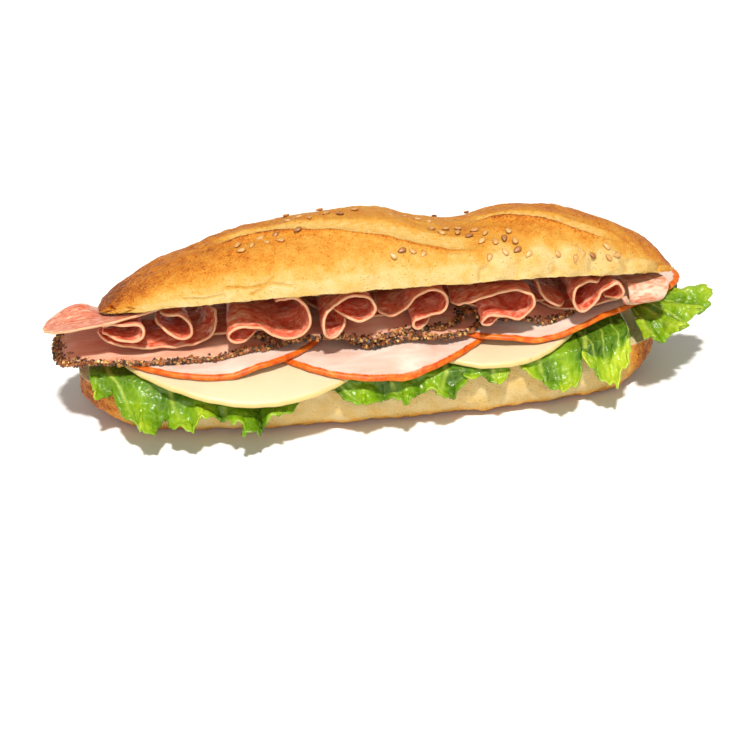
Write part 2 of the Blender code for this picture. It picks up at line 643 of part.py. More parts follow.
def leaf_rows(leaf, x):
    """Rows of a leaf at x: the front frill, the flat part on the bed, and the back frill."""
    start, end = leaf["ends"]
    along = (x - start) / (end - start)
    edge = heel_half_width(np.clip(x, -LEAF_ROOT_X, LEAF_ROOT_X)) + LEAF_CLEAR
    slope = math.radians(leaf["slope"])
    uneven = 1 - leaf["dip"] * (0.5 + 0.5 * np.sin(2 * math.pi * leaf["waves"] * along * 0.5 + 1.2))
    trim = dome(2 * along - 1, 4.0, 1.0) * 0.45 + 0.55
    rows = []
    ruffle = np.sin(2 * math.pi * leaf["waves"] * along + leaf["phase"])
    ruffle = ruffle + 0.35 * np.sin(3.7 * math.pi * leaf["waves"] * along)
    for side, hang in ((-1, leaf["hang"][0]), (1, leaf["hang"][1])):
        part = []
        for share in (FRILL_SHARES if side < 0 else BACK_FRILL_SHARES):
            out = hang * share * uneven * trim
            wave = leaf["height"] * share**1.5 * ruffle * min(1, hang / 12)
            y = side * (edge + out * math.cos(slope) + wave * math.sin(slope))
            root = bed(x, side * edge) + LEAF_THICK - LEAF_DROP
            z = root - out * math.sin(slope) + wave * math.cos(slope)
            part.append((y, z))
        flat = [(side * edge * share, bed(x, edge * share * side) + LEAF_THICK / 2 + GAP)
                for share in LEAF_FLAT_SHARES]
        part += flat
        rows += part if side < 0 else part[::-1]
    return rows


def make_leaves():
    """Lettuce: wavy leaves laid across the bottom half, with a frill at the front and the back."""
    for name, leaf in LEAVES.items():
        stations = np.linspace(*leaf["ends"], leaf["columns"])
        middle = np.array([[(x, y, z) for y, z in leaf_rows(leaf, x)] for x in stations])
        add_leaf(name, middle)


def add_leaf(name, middle):
    """Give a grid of points a leaf's thickness, half on each side."""
    along = np.gradient(middle, axis=0)
    across = np.gradient(middle, axis=1)
    normal = np.cross(along, across)
    normal /= np.linalg.norm(normal, axis=-1)[..., None]
    add_sheet(name, middle + normal * LEAF_THICK / 2, middle - normal * LEAF_THICK / 2, "lettuce")


def make_end_leaf():
    """The leaf that fans out of the right end."""
    angles = np.radians(np.linspace(*END_LEAF["angles"], END_LEAF["columns"]))
    share = np.linspace(0, 1, END_LEAF["columns"])
    wave = np.sin(2 * math.pi * END_LEAF["waves"] * share + 0.6)
    tip = END_LEAF["tip"] * np.exp(-((np.degrees(angles) / 22) ** 2))
    columns = []
    for ring, radius in enumerate(END_LEAF["radii"]):
        out = (ring / (len(END_LEAF["radii"]) - 1)) ** 2
        reach = radius + tip * out + 1.5 * out * wave
        x = END_LEAF["middle"][0] + reach * np.cos(angles)
        y = END_LEAF["middle"][1] + reach * np.sin(angles) * 1.15
        z = bed(x, 0) + 1.0 - 3.5 * out + END_LEAF["height"] * out * wave
        columns.append(np.stack([x, y, z], -1))
    add_leaf("lettuce_end", np.array(columns))


def centre_on_box():
    """Slide everything in X and Y until the middle of its box is at the origin."""
    things = [thing for thing in bpy.context.scene.objects if thing.type == "MESH"]
    corners = np.concatenate([[tuple(vertex.co) for vertex in thing.data.vertices] for thing in things])
    middle = (corners.min(0) + corners.max(0)) / 2
    for thing in things:
        for vertex in thing.data.vertices:
            vertex.co.x -= middle[0]
            vertex.co.y -= middle[1]


def main():
    for thing in list(bpy.data.objects):
        bpy.data.objects.remove(thing)
    make_heel()
    make_leaves()
    make_end_leaf()
    make_slices()
    make_folds()
    make_end_slices()
    make_crown()
    centre_on_box()


main()
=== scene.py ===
"""Looks of the submarine sandwich: crust, lettuce, cheese, ham, peppered turkey and folded salami.

The pieces are drawn in millimetres, like the solids, and set in the frame by one shift. X runs along
the roll, -Y is the open front, Z is up from the flat spot on which the roll rests.
"""

import math

import bpy
import numpy as np
from mathutils import Matrix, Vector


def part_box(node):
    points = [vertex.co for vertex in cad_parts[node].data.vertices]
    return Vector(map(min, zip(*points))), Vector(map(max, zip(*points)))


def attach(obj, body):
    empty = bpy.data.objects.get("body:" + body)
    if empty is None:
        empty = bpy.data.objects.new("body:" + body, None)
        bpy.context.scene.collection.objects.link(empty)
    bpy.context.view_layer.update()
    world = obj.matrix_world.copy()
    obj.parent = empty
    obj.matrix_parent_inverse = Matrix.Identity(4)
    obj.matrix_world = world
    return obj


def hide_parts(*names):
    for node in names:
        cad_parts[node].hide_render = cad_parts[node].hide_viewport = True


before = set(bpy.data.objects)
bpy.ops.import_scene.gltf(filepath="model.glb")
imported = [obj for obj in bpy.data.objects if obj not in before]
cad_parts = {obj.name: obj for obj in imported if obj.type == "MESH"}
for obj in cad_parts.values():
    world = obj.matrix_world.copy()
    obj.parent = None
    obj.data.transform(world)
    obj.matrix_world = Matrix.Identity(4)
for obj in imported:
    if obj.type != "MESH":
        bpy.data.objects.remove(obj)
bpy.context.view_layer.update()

# The roll is drawn round its own middle line, and the frame's box of its bottom half says where that
# line is: the left tip is at HEEL_TIP_X in the drawing, and the middle of its width is at zero.
MM = 0.001
HEEL_TIP_X = -109.95
heel_low, heel_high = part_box("bun_bottom")
SHIFT = np.array([heel_low.x - HEEL_TIP_X * MM, (heel_low.y + heel_high.y) / 2, 0.0])

# Camera: it stands where the photograph was taken, a little left of the front and looking down. The
# shift moves the picture so that the sandwich sits as high in the square frame as it does there.
AZIMUTH = math.radians(-9.5)
ELEVATION = math.radians(27.5)
DISTANCE = 0.850
TARGET_HEIGHT = 0.036
FRAME_PIXELS = 750
PIXELS_PER_METRE = 2670
TARGET_PIXEL = (372, 303)
SENSOR = 36.0
NEAREST_SEEN = 0.05
towards = np.array([math.sin(AZIMUTH) * math.cos(ELEVATION), -math.cos(AZIMUTH) * math.cos(ELEVATION),
                    math.sin(ELEVATION)])
rightwards = np.array([math.cos(AZIMUTH), math.sin(AZIMUTH), 0.0])
upwards = np.cross(towards, rightwards)
target = SHIFT + [0, 0, TARGET_HEIGHT]
lens = bpy.data.cameras.new("camera")
lens.sensor_width = SENSOR
lens.lens = SENSOR * DISTANCE * PIXELS_PER_METRE / FRAME_PIXELS
lens.shift_x = (FRAME_PIXELS / 2 - TARGET_PIXEL[0]) / FRAME_PIXELS
lens.shift_y = (TARGET_PIXEL[1] - FRAME_PIXELS / 2) / FRAME_PIXELS
lens.clip_start = NEAREST_SEEN
camera = bpy.data.objects.new("camera", lens)
axes = np.eye(4)
axes[:3, :4] = np.stack([rightwards, upwards, towards, target + towards * DISTANCE], -1)
camera.matrix_world = Matrix(axes.tolist())
bpy.context.scene.collection.objects.link(camera)
bpy.context.scene.camera = camera

# Light: a main light high above and in front, a little to the left, which throws the shadow under and
# behind the sandwich, and a large soft one that opens up the front. All around is plain and pale.
LIGHTS = {
    "main": {"kind": "SUN", "place": (-0.08, -0.42, 0.90), "power": 4.1, "colour": (1.0, 0.965, 0.91)},
    "front": {"kind": "AREA", "place": (-0.30, -1.10, 0.30), "power": 4.4, "colour": (1.0, 0.98, 0.95)},
}
MAIN_LIGHT_ANGLE = math.radians(5.0)
FRONT_LIGHT_SIDE = 0.9
for name, light in LIGHTS.items():
    lamp = bpy.data.lights.new(name, light["kind"])
    if light["kind"] == "SUN":
        lamp.angle = MAIN_LIGHT_ANGLE
    else:
        lamp.size = FRONT_LIGHT_SIDE
    lamp.energy = light["power"]
    lamp.color = light["colour"]
    holder = bpy.data.objects.new(name, lamp)
    place = target + np.array(light["place"])
    aim = (place - target) / np.linalg.norm(place - target)
    across = np.cross([0, 0, 1], aim)
    across /= np.linalg.norm(across)
    axes = np.eye(4)
    axes[:3, :4] = np.stack([across, np.cross(aim, across), aim, place], -1)
    holder.matrix_world = Matrix(axes.tolist())
    bpy.context.scene.collection.objects.link(holder)
SURROUNDINGS = (1.0, 0.955, 0.88, 1.0)
SURROUNDINGS_STRENGTH = 0.37
FLOOR_SIZE = 6.0
FLOOR_COLOUR = (0.86, 0.86, 0.855, 1.0)
FLOOR_ROUGHNESS = 0.8
world = bpy.data.worlds.new("surroundings")
world.use_nodes = True
background = world.node_tree.nodes["Background"]
background.inputs["Color"].default_value = SURROUNDINGS
background.inputs["Strength"].default_value = SURROUNDINGS_STRENGTH
bpy.context.scene.world = world
bpy.context.scene.view_settings.view_transform = "Standard"
bpy.ops.mesh.primitive_plane_add(size=FLOOR_SIZE)
floor = bpy.context.object
floor.name = "floor"
floor_paint = bpy.data.materials.new("floor")
floor_paint.use_nodes = True
floor_shader = floor_paint.node_tree.nodes["Principled BSDF"]
floor_shader.inputs["Base Color"].default_value = FLOOR_COLOUR
floor_shader.inputs["Roughness"].default_value = FLOOR_ROUGHNESS
floor.data.materials.append(floor_paint)

# Bottom half of the roll: plain baked dough, cut flat across its top. It is pale where its side
# touched the next roll in the oven, golden along its low edge and reddish brown at its ends.


def smooth(value):
    """Smoothstep: 0 below 0, 1 above 1, and 3v^2 - 2v^3 between."""
    share = np.clip(value, 0, 1)
    return share * share * (3 - 2 * share)


def dome(share, power, root):
    """1 in the middle, falling to 0 at -1 and 1: the root of 1 less the share to a power."""
    return np.clip(1 - np.abs(share) ** power, 0, None) ** (1 / root)


def hill(value, middle, width):
    """A bell: e to the power of minus the squared distance from the middle, in widths."""
    return np.exp(-(((value - middle) / width) ** 2))


def step(value, start, run):
    """Smoothstep that begins at start and is over after run."""
    return smooth((value - start) / run)


RIPPLE_WAVES = 16
RIPPLE_LENGTHS = (0.7, 1.4)
SMALLEST_NORMAL = 1e-9
LAST_RING = 0.997


def ripples(points, length, seed):
    """Smooth unevenness, about -1 to 1: a sum of sines of nearly one length in random directions."""
    draw = np.random.default_rng(seed)
    total = np.zeros(points.shape[:-1])
    for _ in range(RIPPLE_WAVES):
        direction = draw.normal(size=3)
        direction *= 2 * math.pi / (length * draw.uniform(*RIPPLE_LENGTHS) * np.linalg.norm(direction))
        total += np.sin(points @ direction + draw.uniform(0, 2 * math.pi))
    return total / math.sqrt(RIPPLE_WAVES / 2)


def uneven(points, layers, seed=0):
    """A sum of ripples. Each layer has a height, a length and a seed, counted on from the given one."""
    return sum(height * ripples(points, length, seed + own) for height, length, own in layers)


def shell_normals(grid, ring=False):
    """Unit normals of a grid of points: the cross product of its two directions."""
    rows = np.gradient(grid, axis=0)
    if ring:
        columns = (np.roll(grid, -1, axis=1) - np.roll(grid, 1, axis=1)) / 2
    else:
        columns = np.gradient(grid, axis=1)
    normal = np.cross(rows, columns)
    return normal / np.maximum(np.linalg.norm(normal, axis=-1), SMALLEST_NORMAL)[..., None]


def lifted(grid, height, ring=False):
    """A grid of points moved along its normals by a height for each."""
    return grid + shell_normals(grid, ring) * height[..., None]


def ring_shares(count):
    """Places of rings from end to end of the roll, -1 to 1, closer together towards the ends."""
    return LAST_RING * np.sin(np.linspace(-math.pi / 2, math.pi / 2, count))[:, None]


def add_piece(name, points, faces, finish, nodes, values):
    """A closed mesh object from points in millimetres. faces holds arrays of corner numbers, four or
    three to a row; the whole shell is turned outwards by the sign of its volume, the sum of the
    triple products of its corners. values are numbers kept at the points for the material."""
    volume = 0.0
    for group in faces:
        a, b, c = points[group[:, 0]], points[group[:, 1]], points[group[:, 2]]
        volume += np.einsum("ij,ij->i", a, np.cross(b, c)).sum()
        if group.shape[1] == 4:
            volume += np.einsum("ij,ij->i", a, np.cross(c, points[group[:, 3]])).sum()
    if volume < 0:
        faces = [group[:, ::-1] for group in faces]
    mesh = bpy.data.meshes.new(name)
    mesh.vertices.add(len(points))
    mesh.vertices.foreach_set("co", (points * MM + SHIFT).astype(np.float32).ravel())
    corners = np.concatenate([group.ravel() for group in faces]).astype(np.int32)
    sizes = np.concatenate([np.full(len(group), group.shape[1]) for group in faces])
    mesh.loops.add(len(corners))
    mesh.loops.foreach_set("vertex_index", corners)
    mesh.polygons.add(len(sizes))
    mesh.polygons.foreach_set("loop_start", (np.cumsum(sizes) - sizes).astype(np.int32))
    mesh.update(calc_edges=True)
    mesh.shade_smooth()
    for key, numbers in values.items():
        kept = mesh.attributes.new(key, "FLOAT", "POINT")
        kept.data.foreach_set("value", np.asarray(numbers, np.float32).ravel())
    mesh.materials.append(finish)
    made = bpy.data.objects.new(name, mesh)
    bpy.context.scene.collection.objects.link(made)
    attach(made, "root")
    if nodes:
        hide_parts(*nodes)
    return made


def grid_faces(rows, columns, first=0, ring=False):
    """Corner numbers of the squares of a grid of points, row after row, joined round if a ring."""
    row, column = np.meshgrid(np.arange(rows - 1), np.arange(columns if ring else columns - 1),
                              indexing="ij")
    beside = (column + 1) % columns
    here, there = first + row * columns, first + (row + 1) * columns
    return np.stack([here + column, here + beside, there + beside, there + column], -1).reshape(-1, 4)


def add_loft(name, rings, finish, nodes, values):
    """A solid through a row of rings of points, closed at each end by a fan round the ring's middle."""
    count, size = rings.shape[:2]
    points = np.concatenate([rings.reshape(-1, 3), [rings[0].mean(0), rings[-1].mean(0)]])
    place = np.arange(size)
    beside = (place + 1) % size
    last = (count - 1) * size
    fans = np.concatenate([
        np.stack([np.full(size, count * size), beside, place], -1),
        np.stack([np.full(size, count * size + 1), last + place, last + beside], -1)])
    kept = {key: np.concatenate([numbers.ravel(), [numbers[0].mean(), numbers[-1].mean()]])
            for key, numbers in values.items()}
    return add_piece(name, points, [grid_faces(count, size, ring=True), fans], finish, nodes, kept)


def add_node(tree, kind, inputs=None, **settings):
    """A shader node with its properties set, and each input linked to a socket or given a value."""
    made = tree.nodes.new("ShaderNode" + kind)
    for key, value in settings.items():
        setattr(made, key, value)
    for socket, value in (inputs or {}).items():
        if isinstance(value, bpy.types.NodeSocket):
            tree.links.new(value, made.inputs[socket])
        else:
            made.inputs[socket].default_value = value
    return made


def math_node(tree, operation, first, second):
    """The result of a Math node."""
    return add_node(tree, "Math", {0: first, 1: second}, operation=operation).outputs[0]


def plus(tree, first, second):
    """Sum of two values."""
    return math_node(tree, "ADD", first, second)


def times(tree, first, second):
    """Product of two values."""
    return math_node(tree, "MULTIPLY", first, second)


def swing(tree, mask, share):
    """How far a mask is above or below its middle, times a share."""
    return times(tree, math_node(tree, "SUBTRACT", mask, 0.5), share)


def spread(tree, value, start, end):
    """0 where the value is start, 1 where it is end, and in proportion between."""
    return add_node(tree, "MapRange", {0: value, 1: start, 2: end}).outputs[0]


def noise(tree, where, scale, detail, roughness=0.5, distortion=0.0):
    """Noise from 0 to 1."""
    return add_node(tree, "TexNoise", {"Vector": where, "Scale": scale, "Detail": detail,
                                       "Roughness": roughness, "Distortion": distortion}).outputs[0]


def own_place(tree):
    """Where a point is in its piece's own coordinates."""
    return add_node(tree, "TexCoord").outputs["Object"]


def cover(tree, shader, colour, height, depth, strength=0.5):
    """Give the shader its colour, and a relief from a height that is depth metres deep."""
    tree.links.new(colour, shader.inputs["Base Color"])
    bump = add_node(tree, "Bump", {"Height": height, "Distance": depth, "Strength": strength})
    tree.links.new(bump.outputs[0], shader.inputs["Normal"])


def ramp(tree, factor, stops):
    """A colour that changes with the factor, through stops of a place and a colour."""
    made = add_node(tree, "ValToRGB", {0: factor})
    for number, (place, colour) in enumerate(stops):
        band = made.color_ramp.elements
        stop = band[number] if number < 2 else band.new(place)
        stop.position = place
        stop.color = (*colour, 1)
    return made.outputs[0]


def blend_colours(tree, factor, first, second):
    """Two colours mixed by a factor."""
    made = add_node(tree, "Mix", data_type="RGBA")
    for number, value in ((0, factor), (6, first), (7, second)):
        if isinstance(value, bpy.types.NodeSocket):
            tree.links.new(value, made.inputs[number])
        else:
            made.inputs[number].default_value = value if number == 0 else (*value, 1)
    return made.outputs[2]


def kept_value(tree, key):
    """The number that a mesh keeps at its points under this name."""
    return add_node(tree, "Attribute", attribute_name=key).outputs["Fac"]


def plain_finish(name, roughness, **sockets):
    """A material whose shader has the numbers that are the same all over the surface."""
    made = bpy.data.materials.new(name)
    made.use_nodes = True
    shader = made.node_tree.nodes["Principled BSDF"]
    shader.inputs["Roughness"].default_value = roughness
    for socket, value in sockets.items():
        shader.inputs[socket.replace("_", " ")].default_value = value
    return made, made.node_tree, shader


def new_group(name, inputs, outputs):
    """A node group with its number sockets: gives the tree and the values of its inputs."""
    tree = bpy.data.node_groups.new(name, "ShaderNodeTree")
    for side, sockets in (("INPUT", inputs), ("OUTPUT", outputs)):
        for socket in sockets:
            tree.interface.new_socket(socket, in_out=side, socket_type="NodeSocketFloat")
    return tree, tree.nodes.new("NodeGroupInput").outputs


def close_group(tree, *values):
    """Link the values to the group's outputs."""
    result = tree.nodes.new("NodeGroupOutput")
    for number, value in enumerate(values):
        tree.links.new(value, result.inputs[number])
    return tree


MOTTLE_RANGE = (0.28, 0.72)
PIT_DEPTH = 0.6


def mottle_group():
    """Node group: coarse and fine noise added, 0 to 1, with 0.5 the commonest."""
    tree, given = new_group("Mottle", ("Coarse Scale", "Fine Scale", "Fine Share"), ("Mask",))
    coarse = noise(tree, own_place(tree), given[0], 3.0)
    fine = noise(tree, own_place(tree), given[1], 4.0, 0.65)
    mixed = add_node(tree, "Mix", {0: given[2], 2: coarse, 3: fine}).outputs[0]
    return close_group(tree, spread(tree, mixed, *MOTTLE_RANGE))


def pores_group():
    """Node group: a fine-grained height, with round pits where the cells of a Voronoi pattern centre."""
    tree, given = new_group("Pores", ("Pit Scale", "Pit Size", "Grain Scale"), ("Height", "Pit"))
    cells = add_node(tree, "TexVoronoi", {"Vector": own_place(tree), "Scale": given[0]})
    pit = spread(tree, cells.outputs["Distance"], given[1], 0.0)
    grain = noise(tree, own_place(tree), given[2], 5.0, 0.6)
    return close_group(tree, math_node(tree, "SUBTRACT", grain, times(tree, pit, PIT_DEPTH)), pit)


def use_group(tree, group, **inputs):
    """Place a node group and set its named inputs."""
    made = add_node(tree, "Group", node_tree=group)
    for socket, value in inputs.items():
        made.inputs[socket.replace("_", " ")].default_value = value
    return made


MOTTLE = mottle_group()
PORES = pores_group()

CRUST_BAKE = [(0.0, (0.71, 0.55, 0.27)), (0.2, (0.66, 0.435, 0.135)), (0.4, (0.64, 0.325, 0.050)),
              (0.6, (0.60, 0.222, 0.020)), (0.8, (0.45, 0.115, 0.008)), (1.0, (0.15, 0.034, 0.005))]
CRUMB_TONES = [(0.0, (0.58, 0.44, 0.22)), (1.0, (0.68, 0.56, 0.34))]
CRUST_GRAIN_HEIGHT = 0.0009
CRUST_MOTTLE = 0.10
CRUST_MOTTLE_ADDED = 0.85
CRUST_PIT_BROWN = 0.5


def crust_finish():
    """Baked dough: the kept value bake, roughened by mottle and pits, picks a colour from cream to
    brown; where the kept value crumb is 1 it is the pale open crumb of a cut."""
    made, tree, shader = plain_finish("crust", 0.5, Specular_IOR_Level=0.18)
    mottle = use_group(tree, MOTTLE, Coarse_Scale=520.0, Fine_Scale=1700.0, Fine_Share=0.68).outputs[0]
    pores = use_group(tree, PORES, Pit_Scale=640.0, Pit_Size=0.24, Grain_Scale=1500.0).outputs
    baked = kept_value(tree, "bake")
    contrast = plus(tree, times(tree, baked, CRUST_MOTTLE_ADDED), CRUST_MOTTLE)
    pitted = times(tree, pores["Pit"], times(tree, baked, CRUST_PIT_BROWN))
    browned = plus(tree, plus(tree, baked, swing(tree, mottle, contrast)), pitted)
    colour = blend_colours(tree, kept_value(tree, "crumb"), ramp(tree, browned, CRUST_BAKE),
                           ramp(tree, mottle, CRUMB_TONES))
    cover(tree, shader, colour, pores["Height"], CRUST_GRAIN_HEIGHT, 0.8)
    return made


CRUST = crust_finish()

HEEL_LENGTH = 220.0
HEEL_WIDTH = 66.0
HEEL_OUTLINE = (2.8, 2.3)
HEEL_MIDDLE_X = -0.5
HEEL_CUT_HEIGHT = 23.2
HEEL_CUT_EDGE_SAG = 0.8
HEEL_END_DROP = 4.5
HEEL_WIDEST_HEIGHT = 12.5
HEEL_FOOT_WIDTH = 40.0
HEEL_FOOT_SHARE = 0.80
HEEL_END_LIFT = 10.5
HEEL_CURL_POWER = 1.8
HEEL_FOOT_NARROWING = 0.5
HEEL_SIDE_SHARE = 0.35
HEEL_CUT_EDGE_SHARE = 0.95
HEEL_STATIONS = 300
HEEL_SIDE_POINTS = 26
HEEL_WALL_POINTS = 14
HEEL_CUT_POINTS = 40
HEEL_FOOT_POINTS = 12
HEEL_CUT_WIDTH = 0.93
HEEL_FIRM_HEIGHT = 0.3
HEEL_FIRM_RUN = 2.0
HEEL_CUT_CALM = 0.4
HEEL_RELIEF = [(0.30, 16.0, 1), (0.14, 5.0, 2), (0.06, 2.2, 3)]
HEEL_BAKE = 0.10
HEEL_BAKE_LOW = 0.55
HEEL_LOW_START = 0.55
HEEL_LOW_RUN = 0.5
HEEL_BAKE_UNEVEN = [(0.04, 9.0, 4)]
HEEL_END_BAKE = 0.80
HEEL_END_START = 0.80
HEEL_END_RUN = 0.16
HEEL_END_BAKE_UNEVEN = [(0.07, 7.0, 5)]


def heel_half_width(x):
    """Half the bottom roll's width at x."""
    return HEEL_WIDTH / 2 * dome((x - HEEL_MIDDLE_X) / (HEEL_LENGTH / 2), *HEEL_OUTLINE)


def make_heel():
    """Rings across the roll: a flat foot, a quarter round up to the widest height, a wall that leans
    in a little up to the cut's edge, and the cut face, which sags by the fourth power of its width."""
    share = ring_shares(HEEL_STATIONS)
    x = HEEL_MIDDLE_X + share * HEEL_LENGTH / 2
    half = heel_half_width(x)
    curl = np.clip((np.abs(share) - HEEL_FOOT_SHARE) / (1 - HEEL_FOOT_SHARE), 0, 1)
    low = HEEL_END_LIFT * curl**HEEL_CURL_POWER
    foot = HEEL_FOOT_WIDTH / HEEL_WIDTH * half * (1 - HEEL_FOOT_NARROWING * curl)
    top = HEEL_CUT_HEIGHT - HEEL_END_DROP * np.abs(share) ** 4
    widest = np.maximum(HEEL_WIDEST_HEIGHT, low + HEEL_SIDE_SHARE * (top - low))
    turn = np.linspace(0, math.pi / 2, HEEL_SIDE_POINTS)[None]
    side_y = foot + (half - foot) * np.sin(turn)
    side_z = low + (widest - low) * (1 - np.cos(turn))
    climb = np.linspace(0, 1, HEEL_WALL_POINTS)[None, 1:]
    wall_y = half * (1 - (1 - HEEL_CUT_EDGE_SHARE) * climb**2)
    wall_z = widest + (top - HEEL_CUT_EDGE_SAG - widest) * climb
    across = np.linspace(-HEEL_CUT_WIDTH, HEEL_CUT_WIDTH, HEEL_CUT_POINTS)[None]
    cut_y = across * half
    cut_z = top - HEEL_CUT_EDGE_SAG * np.abs(across) ** 4
    flat = np.linspace(-1, 1, HEEL_FOOT_POINTS)[None, 1:-1]
    foot_y, foot_z = foot * flat, low + 0 * flat
    y = np.concatenate([side_y, wall_y, cut_y[:, ::-1], -wall_y[:, ::-1], -side_y[:, ::-1], foot_y], 1)
    z = np.concatenate([side_z, wall_z, cut_z[:, ::-1], wall_z[:, ::-1], side_z[:, ::-1], foot_z], 1)
    grid = np.stack([x + 0 * y, y, z], -1)
    side_count = HEEL_SIDE_POINTS + HEEL_WALL_POINTS - 1
    crumb = np.zeros(y.shape)
    crumb[:, side_count - 1:side_count + HEEL_CUT_POINTS + 1] = 1
    loose = step(z, HEEL_FIRM_HEIGHT, HEEL_FIRM_RUN) * (1 - HEEL_CUT_CALM * crumb)
    grid = lifted(grid, -uneven(grid, HEEL_RELIEF) * loose, ring=True)
    height = (z - low) / (widest - low)
    ends = step(np.abs(share), HEEL_END_START, HEEL_END_RUN) + 0 * y
    bake = HEEL_BAKE + HEEL_BAKE_LOW * smooth((HEEL_LOW_START - height) / HEEL_LOW_RUN)
    bake = bake + uneven(grid, HEEL_BAKE_UNEVEN)
    bake = bake + (HEEL_END_BAKE + uneven(grid, HEEL_END_BAKE_UNEVEN) - bake) * ends
    add_loft("heel", grid, CRUST, ["bun_bottom"], {"bake": bake, "crumb": crumb})


make_heel()

# Lettuce: one-millimetre leaves laid over the bottom half. Each hangs out at the front and the back as
# a ruffled frill that grows towards its torn edge, with pale ribs running out to it.
BED_HEIGHT = 23.5
BED_FRONT = -23.0
BED_FRONT_SAG = 0.0122
BED_BACK = 27.0
BED_BACK_SAG = 0.0086
BED_RIGHT_LIFT = 6.2
BED_RIGHT_START = 50.0
BED_RIGHT_RUN = 75.0
LEAF_THICK = 1.0
LEAF_CLEAR = 0.4
LEAF_DROP = 0.6
LEAF_ROOT_X = 104.0
LEAF_FRILL_ROWS = 46
LEAF_FLAT_ROWS = 26
LEAF_COLUMNS_PER_MM = 2.6
LEAVES = {
    "lettuce_left": {
        "ends": (-107.0, -31.0), "slope": 48.0, "waves": 4.6, "height": 3.0, "phase": 0.4, "back": 9.0,
        "front": [(-107, 7), (-103, 10), (-99.5, 6.5), (-95.5, 15), (-92, 20), (-86, 20.5), (-82.5, 14),
                  (-78, 17), (-73, 19), (-69, 13), (-63, 12.5), (-57, 14.5), (-53, 19.5), (-47.5, 18),
                  (-43.5, 13), (-37, 11), (-31, 5)]},
    "lettuce_middle": {
        "ends": (-21.0, 29.0), "slope": 56.0, "waves": 3.6, "height": 2.4, "phase": 2.2, "back": 8.0,
        "front": [(-21, 3), (-15, 7.5), (-9, 9.5), (-3, 9), (2, 8.5), (6, 11), (10, 7.5), (15, 6.5),
                  (19, 9), (24, 10.5), (27, 7), (29, 3)]},
    "lettuce_curl": {
        "ends": (28.0, 46.0), "slope": 58.0, "waves": 1.5, "height": 1.6, "phase": 0.0, "back": 6.0,
        "front": [(28, 2), (31, 3.5), (34.5, 3), (38.5, 6), (42.5, 6.5), (46, 2.5)]},
    "lettuce_lobe": {
        "ends": (50.0, 74.0), "slope": 66.0, "waves": 1.5, "height": 2.0, "phase": 1.0, "back": 7.0,
        "front": [(50, 2), (53.5, 4.5), (57, 8), (61, 11.5), (66, 13.5), (70.5, 12.5), (74, 5)]},
    "lettuce_fan": {
        "ends": (74.0, 94.0), "slope": 62.0, "waves": 1.0, "height": 1.4, "phase": 2.5, "back": 6.0,
        "front": [(74, 2), (77, 9), (81, 15), (85, 19), (88, 14), (91, 12), (94, 8)]},
}


def bed(x, y):
    """Height of the bed under the slices: level over the roll, sagging by the square of the distance
    past each long edge, and raised towards the right end by a smooth step."""
    sag = BED_FRONT_SAG * np.clip(BED_FRONT - y, 0, None)**2
    sag = sag + BED_BACK_SAG * np.clip(y - BED_BACK, 0, None)**2
    return BED_HEIGHT - sag + BED_RIGHT_LIFT * smooth((x - BED_RIGHT_START) / BED_RIGHT_RUN)


def rounded(distance, thick):
    """Half the thickness of a sheet near its edge: a semicircle that reaches the full half."""
    inside = np.clip(distance / (thick / 2), 0, 1)
    return thick / 2 * np.sqrt(1 - (1 - inside) ** 2) + 0.02


def add_sheet(name, middle, half_thick, finish, nodes, values):
    """A thin solid round a grid of middle points: each side lies half the thickness away along the
    grid's normals, and a wall joins the two round the edge."""
    rows, columns = middle.shape[:2]
    count = rows * columns
    lift = shell_normals(middle) * half_thick[..., None]
    points = np.concatenate([(middle + lift).reshape(-1, 3), (middle - lift).reshape(-1, 3)])
    place = np.arange(count).reshape(rows, columns)
    edge = np.concatenate([place[0, :-1], place[:-1, -1], place[-1, :0:-1], place[:0:-1, 0]])
    after = np.roll(edge, -1)
    wall = np.stack([edge, edge + count, after + count, after], -1)
    faces = [grid_faces(rows, columns), grid_faces(rows, columns, count)[:, ::-1], wall]
    kept = {key: np.tile(numbers.ravel(), 2) for key, numbers in values.items()}
    return add_piece(name, points, faces, finish, nodes, kept)


LETTUCE_TONES = [(0.0, (0.008, 0.034, 0.0008)), (0.35, (0.050, 0.140, 0.001)),
                 (0.65, (0.15, 0.295, 0.002)), (1.0, (0.38, 0.49, 0.02))]
LETTUCE_RIB = (0.44, 0.54, 0.08)
BLISTER_SCALE = 330.0
BLISTER_EDGE = 0.22
BLISTER_VEIN = 0.13


def lettuce_finish():
    """Leaf: green picked by the kept value tone, which holds painted light and shade on the ruffles, and a
    mottle;
    paler along the kept value rib and round small blisters; waxy, and light passes a little way through."""
    made, tree, shader = plain_finish("lettuce", 0.32, Specular_IOR_Level=0.32, Subsurface_Weight=0.15,
                                      Subsurface_Scale=0.0012, Subsurface_Radius=(0.7, 1.0, 0.1))
    mottle = use_group(tree, MOTTLE, Coarse_Scale=150.0, Fine_Scale=600.0, Fine_Share=0.3).outputs[0]
    green = ramp(tree, plus(tree, kept_value(tree, "tone"), swing(tree, mottle, 0.22)), LETTUCE_TONES)
    cells = add_node(tree, "TexVoronoi", {"Vector": own_place(tree), "Scale": BLISTER_SCALE},
                     feature="DISTANCE_TO_EDGE")
    blister = spread(tree, cells.outputs["Distance"], 0.0, BLISTER_EDGE)
    vein = times(tree, math_node(tree, "SUBTRACT", 1.0, blister), BLISTER_VEIN)
    paler = math_node(tree, "MAXIMUM", kept_value(tree, "rib"), vein)
    cover(tree, shader, blend_colours(tree, paler, green, LETTUCE_RIB), blister, 0.0003, 0.45)
    return made


LETTUCE = lettuce_finish()
